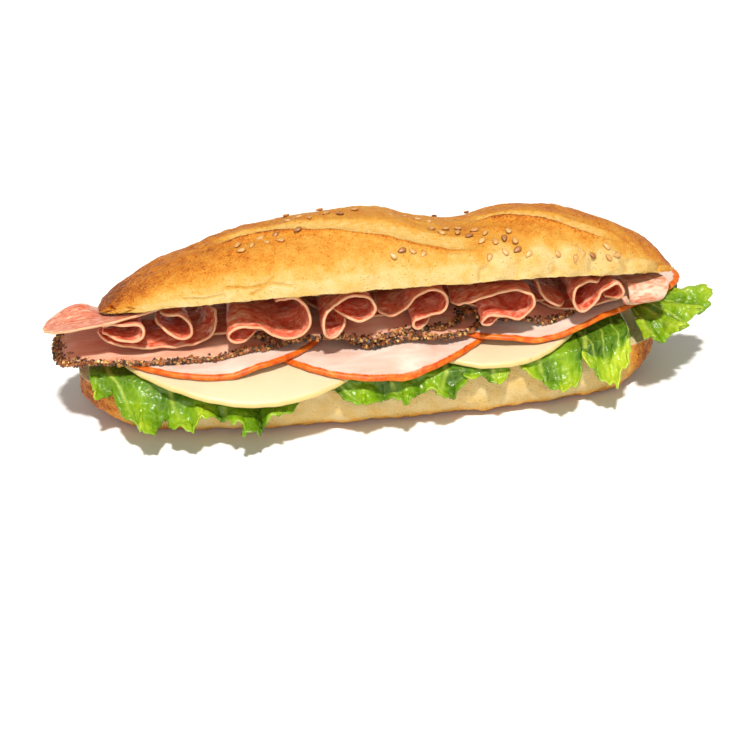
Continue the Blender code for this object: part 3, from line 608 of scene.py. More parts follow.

# A ruffle is a height, a number of turns and a lag that grows on the way out. The back hangs by a share,
# and a share more in waves. The teeth are heights and turns to the millimetre. The flare turns the slope
# by its first number at the root and by so much less at the edge. The tone is that at the root, what the
# way out adds to it, and painted light: paler on the raised crests, with painted shade in the hollows.
LEAF_UNEVEN_TURNS = (0.8, 8.2)
LEAF_RUFFLE = [(1.0, 1.0, 0.5), (0.38, 1.85, -0.9)]
LEAF_FINE_RUFFLE = [(0.16, 4.1, 2.0)]
LEAF_FINE_START = 0.35
LEAF_SHUFFLE = (0.36, 0.14)
LEAF_BACK_HANG = (0.75, 0.25, 5.1)
LEAF_TEETH = ((0.035, 1.5), (0.03, 2.9))
LEAF_SWELL_POWER = 1.4
LEAF_FULL_HANG = 10
LEAF_FLARE = (1.18, 0.42)
LEAF_FLAT_LIFT = 0.3
LEAF_CALMINGS = 3
LEAF_FANNING = 0.35
LEAF_CRINKLE = [(0.32, 7.0, 20), (0.14, 3.2, 30)]
LEAF_CRINKLE_RUN = 0.3
LEAF_RIB_HEIGHT = 0.22
LEAF_EDGE_THICK = 0.8
LEAF_RIBS = 0.65
LEAF_VEINS = 0.16
# The tone's third number is painted light and shade: it makes the crests paler and the hollows darker.
LEAF_TONE = (0.45, 0.16, 0.24)
LEAF_TONE_UNEVEN = [(0.08, 12.0, 40)]
FAN_VEINS = 0.55
FAN_PLEATS = (0.9, 1.1, 0.28, 0.16)
FAN_DARKER = (0.30, 0.36)
FAN_PALER = (0.16, 0.40)
FAN_TONE_RUN = 0.1


def ruffle(turns, out, waves):
    """A sum of sines of the turns, which lag behind on the way out."""
    return sum(height * np.sin(count * turns + lag * out) for height, count, lag in waves)


def leaf_hang(x, measured):
    """How far a leaf hangs at x: each two measured places joined by a smooth step."""
    places, hangs = np.array(measured, float).T
    before = np.clip(np.searchsorted(places, x) - 1, 0, len(places) - 2)
    share = (x - places[before]) / (places[before + 1] - places[before])
    return hangs[before] + (hangs[before + 1] - hangs[before]) * smooth(share)


def make_leaf(number, name, leaf):
    """A leaf as rows from the front edge, over the roll, to the back edge. A frill leaves the roll's
    edge at its slope and flares outwards; the ruffle moves it across the slope by out to the power 1.4
    times a sum of two sines, and along the roll by their double, so that the crests curl over."""
    start, end = leaf["ends"]
    columns = int((end - start) * LEAF_COLUMNS_PER_MM)
    x = np.linspace(start, end, columns)[None]
    along = (x - start) / (end - start)
    edge = heel_half_width(np.clip(x, -LEAF_ROOT_X, LEAF_ROOT_X)) + LEAF_CLEAR
    slope = math.radians(leaf["slope"])
    turns = 2 * math.pi * leaf["waves"] * along + leaf["phase"]
    turns = turns + LEAF_UNEVEN_TURNS[0] * np.sin(LEAF_UNEVEN_TURNS[1] * along + number)
    base, swing_back, back_waves = LEAF_BACK_HANG
    (coarse_tooth, coarse_turns), (fine_tooth, fine_turns) = LEAF_TEETH
    pieces, outs, crest_light_and_shade = [], [], []
    for side in (-1, 1):
        out = np.linspace(1, 0, LEAF_FRILL_ROWS)[:-1, None]
        if side < 0:
            hang = leaf_hang(x, leaf["front"])
        else:
            hang = leaf["back"] * (base + swing_back * np.sin(back_waves * math.pi * along + number))
        hang = hang * (1 + coarse_tooth * np.sin(x * coarse_turns + number)
                       + fine_tooth * np.sin(x * fine_turns))
        wave = ruffle(turns, out, LEAF_RUFFLE)
        fine = ruffle(turns, out, LEAF_FINE_RUFFLE) * step(out, LEAF_FINE_START, 1 - LEAF_FINE_START)
        swell = leaf["height"] * out**LEAF_SWELL_POWER * np.minimum(1, hang / LEAF_FULL_HANG)
        reach = hang * out
        slant = slope * (LEAF_FLARE[0] - LEAF_FLARE[1] * out**2)
        y = side * (edge + reach * np.cos(slant) + swell * (wave + fine) * np.sin(slope))
        z = bed(x, side * edge) - LEAF_DROP + LEAF_THICK - reach * np.sin(slant)
        z = z + swell * (wave + fine) * np.cos(slope)
        shuffle = LEAF_SHUFFLE[0] * np.sin(2 * turns + out) + LEAF_SHUFFLE[1] * np.cos(3.4 * turns + 2 * out)
        order = slice(None, None, -side)
        pieces.append(np.stack([x + swell * shuffle, y, z], -1)[order])
        outs.append((out + 0 * x)[order])
        # the ruffle's wave at each point, kept for painted light on its crests and painted shade in its
        # hollows
        crest_light_and_shade.append((wave * out)[order])
    share = np.linspace(-1, 1, LEAF_FLAT_ROWS)[:, None]
    flat_z = bed(x, edge * share) + LEAF_THICK / 2 + LEAF_FLAT_LIFT
    pieces.insert(1, np.stack([x + 0 * share, edge * share, flat_z], -1))
    outs.insert(1, 0 * share * x)
    crest_light_and_shade.insert(1, 0 * share * x)
    grid, out, fold = np.concatenate(pieces), np.concatenate(outs), np.concatenate(crest_light_and_shade)
    for _ in range(LEAF_CALMINGS):
        grid[1:-1] = (grid[:-2] + 2 * grid[1:-1] + grid[2:]) / 4
    fan = grid[..., 0] + LEAF_FANNING * (grid[..., 0] - (start + end) / 2) * out
    ribs = hill(np.sin(fan * 0.30 + number + 0.25 * np.sin(grid[..., 1] * 0.35)), 1.0, 0.045)
    veins = hill(np.sin(fan * 1.15 + 0.6 * np.sin(grid[..., 1] * 0.5 + fan * 0.4)), 1.0, 0.12)
    pale = name == "lettuce_fan"
    rib = np.clip(LEAF_RIBS * ribs + (FAN_VEINS if pale else LEAF_VEINS) * veins, 0, 1) * (1 - 0.6 * out)
    crinkle = uneven(grid, LEAF_CRINKLE, number)
    if pale:
        pleat_height, pleat_turns, pleat_middle, pleat_spread = FAN_PLEATS
        crinkle = crinkle + pleat_height * np.sin(fan * pleat_turns) * hill(out, pleat_middle, pleat_spread)
    grid = lifted(grid, crinkle * smooth(out / LEAF_CRINKLE_RUN) + LEAF_RIB_HEIGHT * rib)
    to_side = np.minimum(x - start, end - x) + 0 * out
    steps = np.linalg.norm(np.diff(grid, axis=0), axis=-1)
    from_front = np.concatenate([np.zeros((1, columns)), np.cumsum(steps, 0)])
    distance = np.minimum(to_side, np.minimum(from_front, from_front[-1:] - from_front))
    # the third part is painted light: paler on the raised crests, and darker in the hollows as painted shade
    tone = LEAF_TONE[0] + LEAF_TONE[1] * out + LEAF_TONE[2] * fold + uneven(grid, LEAF_TONE_UNEVEN, number)
    if pale:
        tone = tone + FAN_DARKER[0] * step(out, FAN_DARKER[1], FAN_TONE_RUN)
        tone = tone - FAN_PALER[0] * smooth((FAN_PALER[1] - out) / FAN_TONE_RUN)
    add_sheet(name.replace("lettuce", "leaf"), grid, rounded(distance, LEAF_THICK * LEAF_EDGE_THICK),
              LETTUCE, [name], {"tone": tone, "rib": rib})


for leaf_number, (leaf_name, leaf) in enumerate(LEAVES.items()):
    make_leaf(leaf_number, leaf_name, leaf)

# The leaf's tone is the root's value, what the way out adds, and painted light on the crests, with painted
# shade in the hollows.
END_LEAF = {"middle": (98.5, 0.0), "radii": (3.0, 25.0), "angles": (-92.0, 42.0), "height": 3.0,
            "waves": 4.4, "phase": 0.6, "tip": 8.0, "tip_spread": 20.0, "breadth": 1.15, "lift": 1.0,
            "sag": 3.5, "rows": 70, "columns": 300, "notch": 0.9, "notch_start": 0.6, "notch_run": 0.4,
            "crinkle": [(0.34, 7.0, 50), (0.14, 3.2, 51)], "crinkle_run": 0.4, "rib_height": 0.25,
            "edge_length": 60, "tone": (0.52, 0.20, 0.18), "tone_uneven": [(0.08, 11.0, 52)],
            "fine_ruffle": [(1.0, 17, 3), (0.6, 29, -2)], "veins": 0.2}


def make_end_leaf():
    """The leaf that fans out of the right end: rings round its root, which rise and fall in waves that
    grow with the squared distance out, and a tongue that reaches further along the roll's line."""
    share = np.linspace(0, 1, END_LEAF["columns"])[None]
    degrees = END_LEAF["angles"][0] + (END_LEAF["angles"][1] - END_LEAF["angles"][0]) * share
    angle = np.radians(degrees)
    ring = np.linspace(0, 1, END_LEAF["rows"])[:, None]
    out = ring**2
    inner, outer = END_LEAF["radii"]
    wave = np.sin(2 * math.pi * END_LEAF["waves"] * share + END_LEAF["phase"])
    fine = ruffle(2 * math.pi * share, ring, END_LEAF["fine_ruffle"])
    tip = END_LEAF["tip"] * hill(degrees, 0, END_LEAF["tip_spread"])
    notch = END_LEAF["notch"] * fine * step(ring, END_LEAF["notch_start"], END_LEAF["notch_run"])
    reach = inner + (outer - inner) * ring + tip * out + 1.5 * out * wave + notch
    x = END_LEAF["middle"][0] + reach * np.cos(angle)
    y = END_LEAF["middle"][1] + reach * np.sin(angle) * END_LEAF["breadth"]
    z = bed(x, 0) + END_LEAF["lift"] - END_LEAF["sag"] * out
    z = z + END_LEAF["height"] * out * wave + 0.4 * fine * out**1.5
    grid = np.stack([x, y, z], -1)
    ribs = hill(np.sin(share * 34 + 0.3 * np.sin(reach * 0.4)), 1.0, 0.06)
    veins = hill(np.sin(share * 110 + 0.8 * np.sin(reach * 0.7)), 1.0, 0.12)
    rib = np.clip(LEAF_RIBS * ribs + END_LEAF["veins"] * veins, 0, 1) * (1 - 0.5 * ring)
    crinkle = uneven(grid, END_LEAF["crinkle"]) * smooth(ring / END_LEAF["crinkle_run"])
    grid = lifted(grid, crinkle + END_LEAF["rib_height"] * rib)
    to_side = np.minimum(share, 1 - share) * END_LEAF["edge_length"]
    distance = np.minimum((1 - ring) * (outer + tip), to_side)
    base, outwards, painted_crest_light = END_LEAF["tone"]
    # paler where the waves rise and darker where they fall: painted light and shade
    tone = base + outwards * ring + painted_crest_light * wave * ring + uneven(grid, END_LEAF["tone_uneven"])
    add_sheet("leaf_end", grid, rounded(distance, LEAF_THICK * LEAF_EDGE_THICK), LETTUCE, ["lettuce_end"],
              {"tone": tone, "rib": rib + 0 * tone})


make_end_leaf()

# Cheese: two overlapping ovals of mild cheese, two millimetres thick, with a slightly yellower rim. Like
# all flat slices they lie on one bed, each raised by what lies under it, and sag just beyond its edge.
GAP = 0.3
LETTUCE_SPACE = 1.6
COVER_MARGIN = 8.0
COVER_RAMP = 11.0
CHEESE_THICK = 2.1
HAM_THICK = 1.9
TURKEY_THICK = 1.4
SALAMI_THICK = 1.0
SLICES = {
    "cheese_left": (-46.0, -1.0, 52.0, 42.5, 0.0, CHEESE_THICK),
    "cheese_right": (43.0, 3.0, 37.5, 38.5, 0.0, CHEESE_THICK),
    "ham_middle": (1.0, -1.0, 46.0, 38.5, 10.0, HAM_THICK),
    "ham_far_right": (94.0, 7.0, 29.0, 16.0, 12.0, HAM_THICK),
    "ham_left": (-59.0, 3.0, 43.0, 36.0, 0.0, HAM_THICK),
    "ham_right": (66.0, 2.0, 44.0, 27.5, 17.0, HAM_THICK),
    "turkey_middle": (11.0, 0.0, 31.0, 25.5, 0.0, TURKEY_THICK),
    "turkey_left": (-70.0, -1.0, 49.0, 22.5, -1.5, TURKEY_THICK),
    "turkey_upper": (-8.0, 0.0, 43.0, 24.5, 0.0, TURKEY_THICK),
    "turkey_right": (54.0, 3.0, 24.0, 23.5, 5.0, TURKEY_THICK),
    "salami_base_right": (78.0, 3.0, 20.0, 20.0, 0.0, SALAMI_THICK),
    "salami_back_left": (-49.0, 8.0, 26.0, 23.0, 0.0, SALAMI_THICK),
    "salami_back_middle": (0.0, 8.0, 27.0, 23.0, 0.0, SALAMI_THICK),
    "salami_back_right": (48.0, 8.0, 25.0, 23.0, 0.0, SALAMI_THICK),
}
SLICE_POWERS = {"cheese": 2.0, "ham": 2.0, "turkey": 3.0, "salami": 2.0}
SLICE_COLUMNS = 300
SLICE_EDGE_STEPS = [0.0, 0.05, 0.18, 0.38, 0.62, 0.9, 1.3, 1.8, 2.5]
SLICE_INNER_ROWS = 16
SLICE_MIDDLE = 0.97
SLICE_WAVER = 0.07
SLICE_WAVER_LENGTH = 13.0
SLICE_WAVER_SEED = 60
SLICE_OUTLINE = ((0.012, 2), (0.006, 3), (0.002, 23), (0.0015, 41))


def kind_of(name):
    """What a slice is made of: the first word of its name."""
    return name.split("_")[0]


def turned(x, y, degrees):
    """x and y turned by an angle."""
    slant = math.radians(degrees)
    return x * math.cos(slant) - y * math.sin(slant), x * math.sin(slant) + y * math.cos(slant)


def slice_under(name, x, y):
    """Height of a slice's underside: the bed, plus the thickness of every slice laid before it, faded
    out beyond that slice's edge by a smooth step. The edge is where the shares of the half-length and
    the half-depth, each to the slice's power, add up to 1."""
    height = bed(x, y) + LETTUCE_SPACE
    for other, (middle_x, middle_y, half_length, half_depth, turn, thick) in SLICES.items():
        if other == name:
            break
        power = SLICE_POWERS[kind_of(other)]
        along, deep = turned(x - middle_x, y - middle_y, -turn)
        radius = (np.abs(along / half_length)**power + np.abs(deep / half_depth)**power) ** (1 / power)
        outside = (radius - 1) * min(half_length, half_depth)
        height = height + (thick + GAP) * (1 - smooth((outside - COVER_MARGIN) / COVER_RAMP))
    return height


def oval_edge(angle, power):
    """Distance of an oval's edge from its middle, 1 all round at a power of 2 and squarer above it."""
    return (np.abs(np.cos(angle))**power + np.abs(np.sin(angle))**power) ** (-1 / power)


def slice_place(name, angle, inset):
    """Points of a slice at an angle and a distance in from its edge: an oval, a little out of true by
    four sines round it."""
    middle_x, middle_y, half_length, half_depth, turn, _ = SLICES[name]
    (broad, two), (skewed, three), (nicks, many), (fine, most) = SLICE_OUTLINE
    outline = 1 + broad * np.sin(two * angle + middle_x) + skewed * np.sin(three * angle + middle_y)
    outline = outline + nicks * np.sin(many * angle + middle_x) + fine * np.sin(most * angle)
    outline = outline * oval_edge(angle, SLICE_POWERS[kind_of(name)])
    reach = 1 - inset / min(half_length, half_depth)
    x, y = turned(half_length * np.cos(angle) * outline * reach, half_depth * np.sin(angle) * outline * reach,
                  turn)
    return middle_x + x, middle_y + y


def slice_grid(depth):
    """Distances in from a slice's edge, the middle first and close together near the edge, and the
    angles round it."""
    inner = np.linspace(SLICE_EDGE_STEPS[-1], depth * SLICE_MIDDLE, SLICE_INNER_ROWS + 1)[1:]
    inset = np.concatenate([SLICE_EDGE_STEPS, inner])[::-1, None]
    return inset, np.linspace(0, 2 * math.pi, SLICE_COLUMNS, endpoint=False)[None]


def add_slice(name, x, y, middle, thick, finish, node, inset, pale=None):
    """Rings from the middle out over the top, round the edge and back in along the underside. Near the
    edge the thickness follows a semicircle. inset keeps how far each point is from the edge."""
    half = rounded(inset, thick)
    top, under = np.stack([x, y, middle + half], -1), np.stack([x, y, middle - half], -1)
    insets = np.concatenate([inset + 0 * x, (inset + 0 * x)[::-1]])
    values = {"inset": insets} if pale is None else {"inset": insets, "pale": pale + 0 * insets}
    add_loft(name, np.concatenate([top, under[::-1]]), finish, [node], values)


def make_slice(name, finish):
    """A flat slice on all that lies under it, with a slight waver."""
    _, _, half_length, half_depth, _, thick = SLICES[name]
    inset, angle = slice_grid(min(half_length, half_depth))
    x, y = slice_place(name, angle, inset)
    flat = np.stack([x, y, 0 * x], -1)
    waver = SLICE_WAVER * ripples(flat, SLICE_WAVER_LENGTH, SLICE_WAVER_SEED + len(name))
    add_slice(name + "_slice", x, y, slice_under(name, x, y) + thick / 2 + waver, thick, finish, name, inset)


def rim_share(tree, mottle, raggedness, inner, outer):
    """1 at a slice's rim and 0 from the inner distance on, with a ragged line between."""
    return spread(tree, plus(tree, kept_value(tree, "inset"), swing(tree, mottle, raggedness)), inner, outer)


CHEESE_TONES = [(0.0, (0.65, 0.525, 0.33)), (1.0, (0.69, 0.575, 0.385))]
CHEESE_RIM = (0.63, 0.44, 0.12)
CHEESE_SPOT = (0.60, 0.20, 0.02)
CHEESE_SPOT_SCALE = 260.0


def cheese_finish():
    """Cheese: cream with a faint mottle, yellower and with a few orange spots within a millimetre of
    its edge; waxy and milky."""
    made, tree, shader = plain_finish("cheese", 0.36, Subsurface_Weight=0.3, Subsurface_Scale=0.003,
                                      Specular_IOR_Level=0.4, Subsurface_Radius=(1.0, 0.8, 0.4))
    mottle = use_group(tree, MOTTLE, Coarse_Scale=70.0, Fine_Scale=420.0, Fine_Share=0.3).outputs[0]
    near = spread(tree, kept_value(tree, "inset"), 1.1, 0.1)
    colour = blend_colours(tree, times(tree, near, 0.75), ramp(tree, mottle, CHEESE_TONES), CHEESE_RIM)
    cells = add_node(tree, "TexVoronoi", {"Vector": own_place(tree), "Scale": CHEESE_SPOT_SCALE})
    spot = times(tree, spread(tree, cells.outputs["Distance"], 0.16, 0.08), near)
    colour = blend_colours(tree, times(tree, spot, 0.5), colour, CHEESE_SPOT)
    cover(tree, shader, colour, mottle, 0.0002, 0.3)
    return made


CHEESE = cheese_finish()
for slice_name in ("cheese_left", "cheese_right"):
    make_slice(slice_name, CHEESE)

# Ham: cooked slices, pale pink and moist, with a mottled orange-red cured rind all round their edge.
HAM_MEAT = [(0.0, (0.61, 0.39, 0.31)), (0.5, (0.66, 0.50, 0.42)), (1.0, (0.70, 0.59, 0.51))]
HAM_RIND = [(0.0, (0.30, 0.026, 0.003)), (0.35, (0.57, 0.085, 0.004)), (0.7, (0.67, 0.165, 0.008)),
            (1.0, (0.72, 0.38, 0.08))]
FIBRE_SCALE = (0.35, 1.0, 1.0)
FIBRE_TURN = (0.0, 0.0, 0.3)


def fibre_group():
    """Node group: noise drawn out along X, as muscle fibres and fat streaks are, 0 to 1."""
    tree, given = new_group("Fibres", ("Scale", "Swirl"), ("Mask",))
    drawn = add_node(tree, "Mapping", {"Vector": own_place(tree), "Scale": FIBRE_SCALE,
                                       "Rotation": FIBRE_TURN})
    mask = noise(tree, drawn.outputs[0], given[0], 5.0, 0.6, given[1])
    return close_group(tree, spread(tree, mask, 0.3, 0.7))


FIBRES = fibre_group()


def ham_finish():
    """Ham: fibres pick the pink; the rind covers the edge and ends in a ragged line on the top."""
    made, tree, shader = plain_finish("ham", 0.36, Subsurface_Weight=0.25, Subsurface_Scale=0.002,
                                      Specular_IOR_Level=0.3, Subsurface_Radius=(1.0, 0.35, 0.25))
    fibres = use_group(tree, FIBRES, Scale=160.0, Swirl=0.6).outputs[0]
    mottle = use_group(tree, MOTTLE, Coarse_Scale=330.0, Fine_Scale=1400.0, Fine_Share=0.4).outputs[0]
    near = rim_share(tree, mottle, 0.7, 1.7, 1.25)
    colour = blend_colours(tree, near, ramp(tree, fibres, HAM_MEAT), ramp(tree, mottle, HAM_RIND))
    cover(tree, shader, colour, plus(tree, fibres, times(tree, near, mottle)), 0.0003)
    return made


HAM = ham_finish()
for slice_name in ("ham_middle", "ham_far_right", "ham_left", "ham_right"):
    make_slice(slice_name, HAM)

# Turkey: thin roast slices with tan meat. Their browned rim is crusted with cracked pepper, mustard
# seed and bits of skin, pressed on before roasting, so it is real grains on a dark edge.
TURKEY_MEAT = [(0.0, (0.65, 0.26, 0.16)), (0.5, (0.71, 0.37, 0.25)), (1.0, (0.76, 0.49, 0.36))]
TURKEY_RIM = [(0.0, (0.040, 0.012, 0.006)), (0.5, (0.17, 0.050, 0.014)), (1.0, (0.36, 0.16, 0.05))]
GRAINS = {
    "pepper_black": {"count": 2800, "size": (0.6, 1.9), "tones": [(0.0, (0.008, 0.006, 0.005)),
                                                                  (1.0, (0.07, 0.038, 0.02))]},
    "pepper_gold": {"count": 1500, "size": (0.6, 1.8), "tones": [(0.0, (0.36, 0.17, 0.03)),
                                                                 (1.0, (0.70, 0.46, 0.16))]},
    "pepper_brown": {"count": 3700, "size": (0.6, 2.1), "tones": [(0.0, (0.15, 0.034, 0.008)),
                                                                  (1.0, (0.42, 0.145, 0.035))]},
}
GRAIN_BAND = 2.1
GRAIN_SPREAD = 0.45
GRAIN_PROUD = 0.25
GRAIN_ABOVE = 0.65
GRAIN_SUNK = 0.9
GRAIN_STRETCH = (0.6, 1.25)
GRAIN_CORNERS = (0.7, 1.2)
GRAIN_SEED = 70


def turkey_finish():
    """Turkey: soft fibres of tan and peach; dark and brown within a millimetre of the edge."""
    made, tree, shader = plain_finish("turkey", 0.42, Subsurface_Weight=0.35, Subsurface_Scale=0.003,
                                      Specular_IOR_Level=0.3, Subsurface_Radius=(1.0, 0.5, 0.3))
    fibres = use_group(tree, FIBRES, Scale=190.0, Swirl=0.4).outputs[0]
    mottle = use_group(tree, MOTTLE, Coarse_Scale=420.0, Fine_Scale=1500.0, Fine_Share=0.5).outputs[0]
    colour = blend_colours(tree, rim_share(tree, mottle, 0.8, 1.1, 0.5), ramp(tree, fibres, TURKEY_MEAT),
                           ramp(tree, mottle, TURKEY_RIM))
    cover(tree, shader, colour, fibres, 0.0003)
    return made


TURKEY = turkey_finish()
TURKEY_NAMES = ("turkey_middle", "turkey_left", "turkey_upper", "turkey_right")
for slice_name in TURKEY_NAMES:
    make_slice(slice_name, TURKEY)


def scatter_grains(number, name, grain):
    """Crumbs as eight-cornered lumps: a cube's corners pushed in and out at random, turned at random
    and set round the turkey's rims, more on the wall than on the faces."""
    draw = np.random.default_rng(GRAIN_SEED + number)
    count = grain["count"]
    corner = np.array([(x, y, z) for x in (-1, 1) for y in (-1, 1) for z in (-1, 1)], float)
    corner /= np.linalg.norm(corner[0])
    sides = np.array([(0, 1, 3, 2), (4, 6, 7, 5), (0, 4, 5, 1), (2, 3, 7, 6), (0, 2, 6, 4), (1, 5, 7, 3)])
    spans = np.array([SLICES[rim][2] + SLICES[rim][3] for rim in TURKEY_NAMES])
    owner = draw.choice(len(TURKEY_NAMES), count, p=spans / spans.sum())
    angle = draw.uniform(0, 2 * math.pi, count)
    inset = np.abs(draw.normal(0, GRAIN_SPREAD, count)) * GRAIN_BAND - GRAIN_PROUD
    upper = draw.choice([-1, 1], count, p=[1 - GRAIN_ABOVE, GRAIN_ABOVE])
    middle = np.zeros((count, 3))
    for rank, rim in enumerate(TURKEY_NAMES):
        mine = owner == rank
        x, y = slice_place(rim, angle[mine], inset[mine])
        thick = SLICES[rim][5]
        height = slice_under(rim, x, y) + thick / 2
        height = height + upper[mine] * rounded(np.maximum(inset[mine], 0), thick) * GRAIN_SUNK
        middle[mine] = np.stack([x, y, height], -1)
    turn = np.linalg.qr(draw.normal(size=(count, 3, 3)))[0]
    size = draw.uniform(*grain["size"], count) / 2
    stretch = draw.uniform(*GRAIN_STRETCH, (count, 1, 3))
    pushed = draw.uniform(*GRAIN_CORNERS, (count, len(corner), 1))
    crumbs = corner[None] * stretch * pushed * size[:, None, None]
    points = (crumbs @ turn + middle[:, None]).reshape(-1, 3)
    faces = (np.arange(count)[:, None, None] * len(corner) + sides[None]).reshape(-1, 4)
    finish, tree, shader = plain_finish(name, 0.5)
    tree.links.new(ramp(tree, kept_value(tree, "tone"), grain["tones"]), shader.inputs["Base Color"])
    made = add_piece(name, points, [faces], finish, [],
                     {"tone": np.repeat(draw.uniform(0, 1, count), len(corner))})
    made.data.shade_flat()


for grain_number, (grain_name, grain) in enumerate(GRAINS.items()):
    scatter_grains(grain_number, grain_name, grain)

# Salami: very thin slices of marbled red sausage in a pale skin. Some lie flat; most are folded into
# loose S shapes whose rims stand in the open front and which flatten out towards the back.
SALAMI_TONES = [(0.0, (0.44, 0.034, 0.014)), (0.35, (0.56, 0.100, 0.046)), (0.6, (0.64, 0.215, 0.125)),
                (0.82, (0.69, 0.36, 0.24)), (1.0, (0.73, 0.50, 0.37))]
SALAMI_SKIN = (0.68, 0.42, 0.24)


def salami_finish():
    """Salami: swirled fat streaks over red meat; the skin is a pale line at the rim. The kept value
    pale says how much fatter a slice is."""
    made, tree, shader = plain_finish("salami", 0.38, Subsurface_Weight=0.5, Subsurface_Scale=0.003,
                                      Specular_IOR_Level=0.3, Subsurface_Radius=(1.0, 0.25, 0.15))
    streaks = use_group(tree, FIBRES, Scale=380.0, Swirl=1.6).outputs[0]
    mottle = use_group(tree, MOTTLE, Coarse_Scale=300.0, Fine_Scale=1300.0, Fine_Share=0.45).outputs[0]
    mixed = plus(tree, times(tree, streaks, 0.65), times(tree, mottle, 0.35))
    fat = plus(tree, spread(tree, mixed, 0.16, 0.86), kept_value(tree, "pale"))
    near = times(tree, rim_share(tree, mottle, 0.3, 0.6, 0.25), 0.8)
    cover(tree, shader, blend_colours(tree, near, ramp(tree, fat, SALAMI_TONES), SALAMI_SKIN), mixed, 0.0003)
    return made


SALAMI = salami_finish()
for slice_name in SLICES:
    if slice_name.startswith("salami"):
        make_slice(slice_name, SALAMI)

CROWN_LENGTH = 217.0
CROWN_WIDTH = 68.0
CROWN_MIDDLE_X = 6.5
CROWN_CUT_HEIGHT = 48.5
CROWN_TILT = math.radians(16.4)
CROWN_END_DROP = 7.0
FOLDS = {
    "salami_wave": {
        "y": (-17.0, 3.0), "floor": (31.9, 33.9), "room": 3.2,
        "rim": [(-105, 38.4), (-98, 36.4), (-92, 34.4), (-86, 33.4), (-72, 33), (-63.5, 35.2), (-60, 40),
                (-58.8, 46)]},
    "salami_fold_1": {
        "y": (-20.0, 0.0), "floor": (36.2, 36.4), "room": 3.2,
        "rim": [(-102, 43.6), (-96, 45), (-90, 44.8), (-87, 42.8), (-87.4, 39.8), (-91, 38.4), (-97, 39.4),
                (-102, 40.8)]},
    "salami_fold_2": {
        "y": (-20.0, 6.0), "floor": (35.6, 36.2), "room": 3.2,
        "rim": [(-82.6, 44.6), (-79.5, 41.8), (-76, 38.9), (-72.4, 37.4), (-69.8, 39.2), (-69.6, 43),
                (-71.5, 46), (-75.5, 47.2), (-80.5, 47.4)]},
    "salami_fold_3": {
        "y": (-27.0, 14.0), "floor": (36.3, 39.5), "room": 1.0,
        "rim": [(-38.4, 51), (-36.5, 53.8), (-32.5, 54.4), (-28.5, 51), (-27, 44.5), (-29.5, 39.8), (-34, 38),
                (-40, 39.8), (-45, 43), (-51, 44.6), (-55.6, 43.2), (-56.2, 39.6), (-52, 37.6), (-46, 37.8)]},
    "salami_fold_4": {
        "y": (-29.0, 14.0), "floor": (36.3, 40.4), "room": 1.0,
        "rim": [(-18.4, 46.4), (-14, 45.6), (-9, 44.2), (-5, 45.4), (-3.6, 49), (-5.5, 53), (-10.5, 54.8),
                (-16.5, 52.6), (-21.3, 47.4), (-22.6, 41.4), (-19.8, 37.6), (-15.8, 38.8), (-13.4, 42)]},
    "salami_fold_5": {
        "y": (-27.0, 14.0), "floor": (36.3, 39.5), "room": 1.0,
        "rim": [(-2.2, 43.4), (2, 43.6), (6.5, 45.4), (12, 51), (18.5, 53.8), (23, 50.4), (22.5, 45.6),
                (17, 42.6), (12, 41.6), (11, 39.4), (13.5, 37.6), (19, 38.4)]},
    "salami_fold_6": {
        "y": (-28.0, 14.0), "floor": (36.3, 40.9), "room": 1.0,
        "rim": [(25, 44.6), (30, 47), (37, 49.6), (46, 51), (54, 49.6), (55.5, 44.5), (50.5, 39), (43.5, 41),
                (38, 41.4), (36.4, 38.4), (40, 36.9), (45, 38)]},
    "salami_fold_7": {
        "y": (-26.0, 8.0), "floor": (36.6, 38.4), "room": 1.0,
        "rim": [(83, 50.6), (77, 51), (72, 49.6), (70.8, 46), (71.6, 41.6), (74, 39.2), (78, 41.4),
                (82, 46.4), (86.5, 49.8), (89.6, 47.4), (89, 43.4), (84.5, 41.2)]},
    "salami_fold_8": {
        "y": (-24.0, 8.0), "floor": (36.6, 38.4), "room": 1.0,
        "rim": [(58.6, 50.4), (59.6, 46.6), (63, 42.8), (67, 40), (70, 38.4)]},
}
FOLD_NARROWING = 0.22
FOLD_ROUNDING = 7.0
FOLD_ROUNDING_RUN = 9.0
FOLD_FLOOR_RUN = 0.33
FOLD_STEPS_PER_CORNER = 12
FOLD_ROWS = 44
FOLD_EDGE_ROWS = [0, 0.0012, 0.004, 0.009, 0.016]
FOLD_FIRST_ROW = 0.03
FOLD_WAVER = [(0.22, 9.0, 80), (0.10, 3.5, 90)]
FOLD_RIM_WAVER = [(0.35, 7.0, 100)]


def crown_cut(x, y):
    """Height of the crown's cut face: it drops to both ends by the cube of the share of its length, and
    leans back by the tilt."""
    share = (x - CROWN_MIDDLE_X) / (CROWN_LENGTH / 2)
    return CROWN_CUT_HEIGHT - CROWN_END_DROP * np.abs(share) ** 3 - math.tan(CROWN_TILT) * y


def smooth_path(corners, steps):
    """A Catmull-Rom curve: a cubic between each two corners, through all of them."""
    padded = np.array([corners[0], *corners, corners[-1]], float)[:, None]
    before, here, there, after = padded[:-3], padded[1:-2], padded[2:-1], padded[3:]
    share = (np.arange(steps) / steps)[None, :, None]
    curve = 0.5 * (2 * here + (there - before) * share
                   + (2 * before - 5 * here + 4 * there - after) * share**2
                   + (3 * here - before - 3 * there + after) * share**3)
    return np.concatenate([curve.reshape(-1, padded.shape[-1]), padded[-1]])


def run_along(path):
    """How far along a path each of its points is."""
    return np.concatenate([[0], np.cumsum(np.linalg.norm(np.diff(path, axis=0), axis=1))])


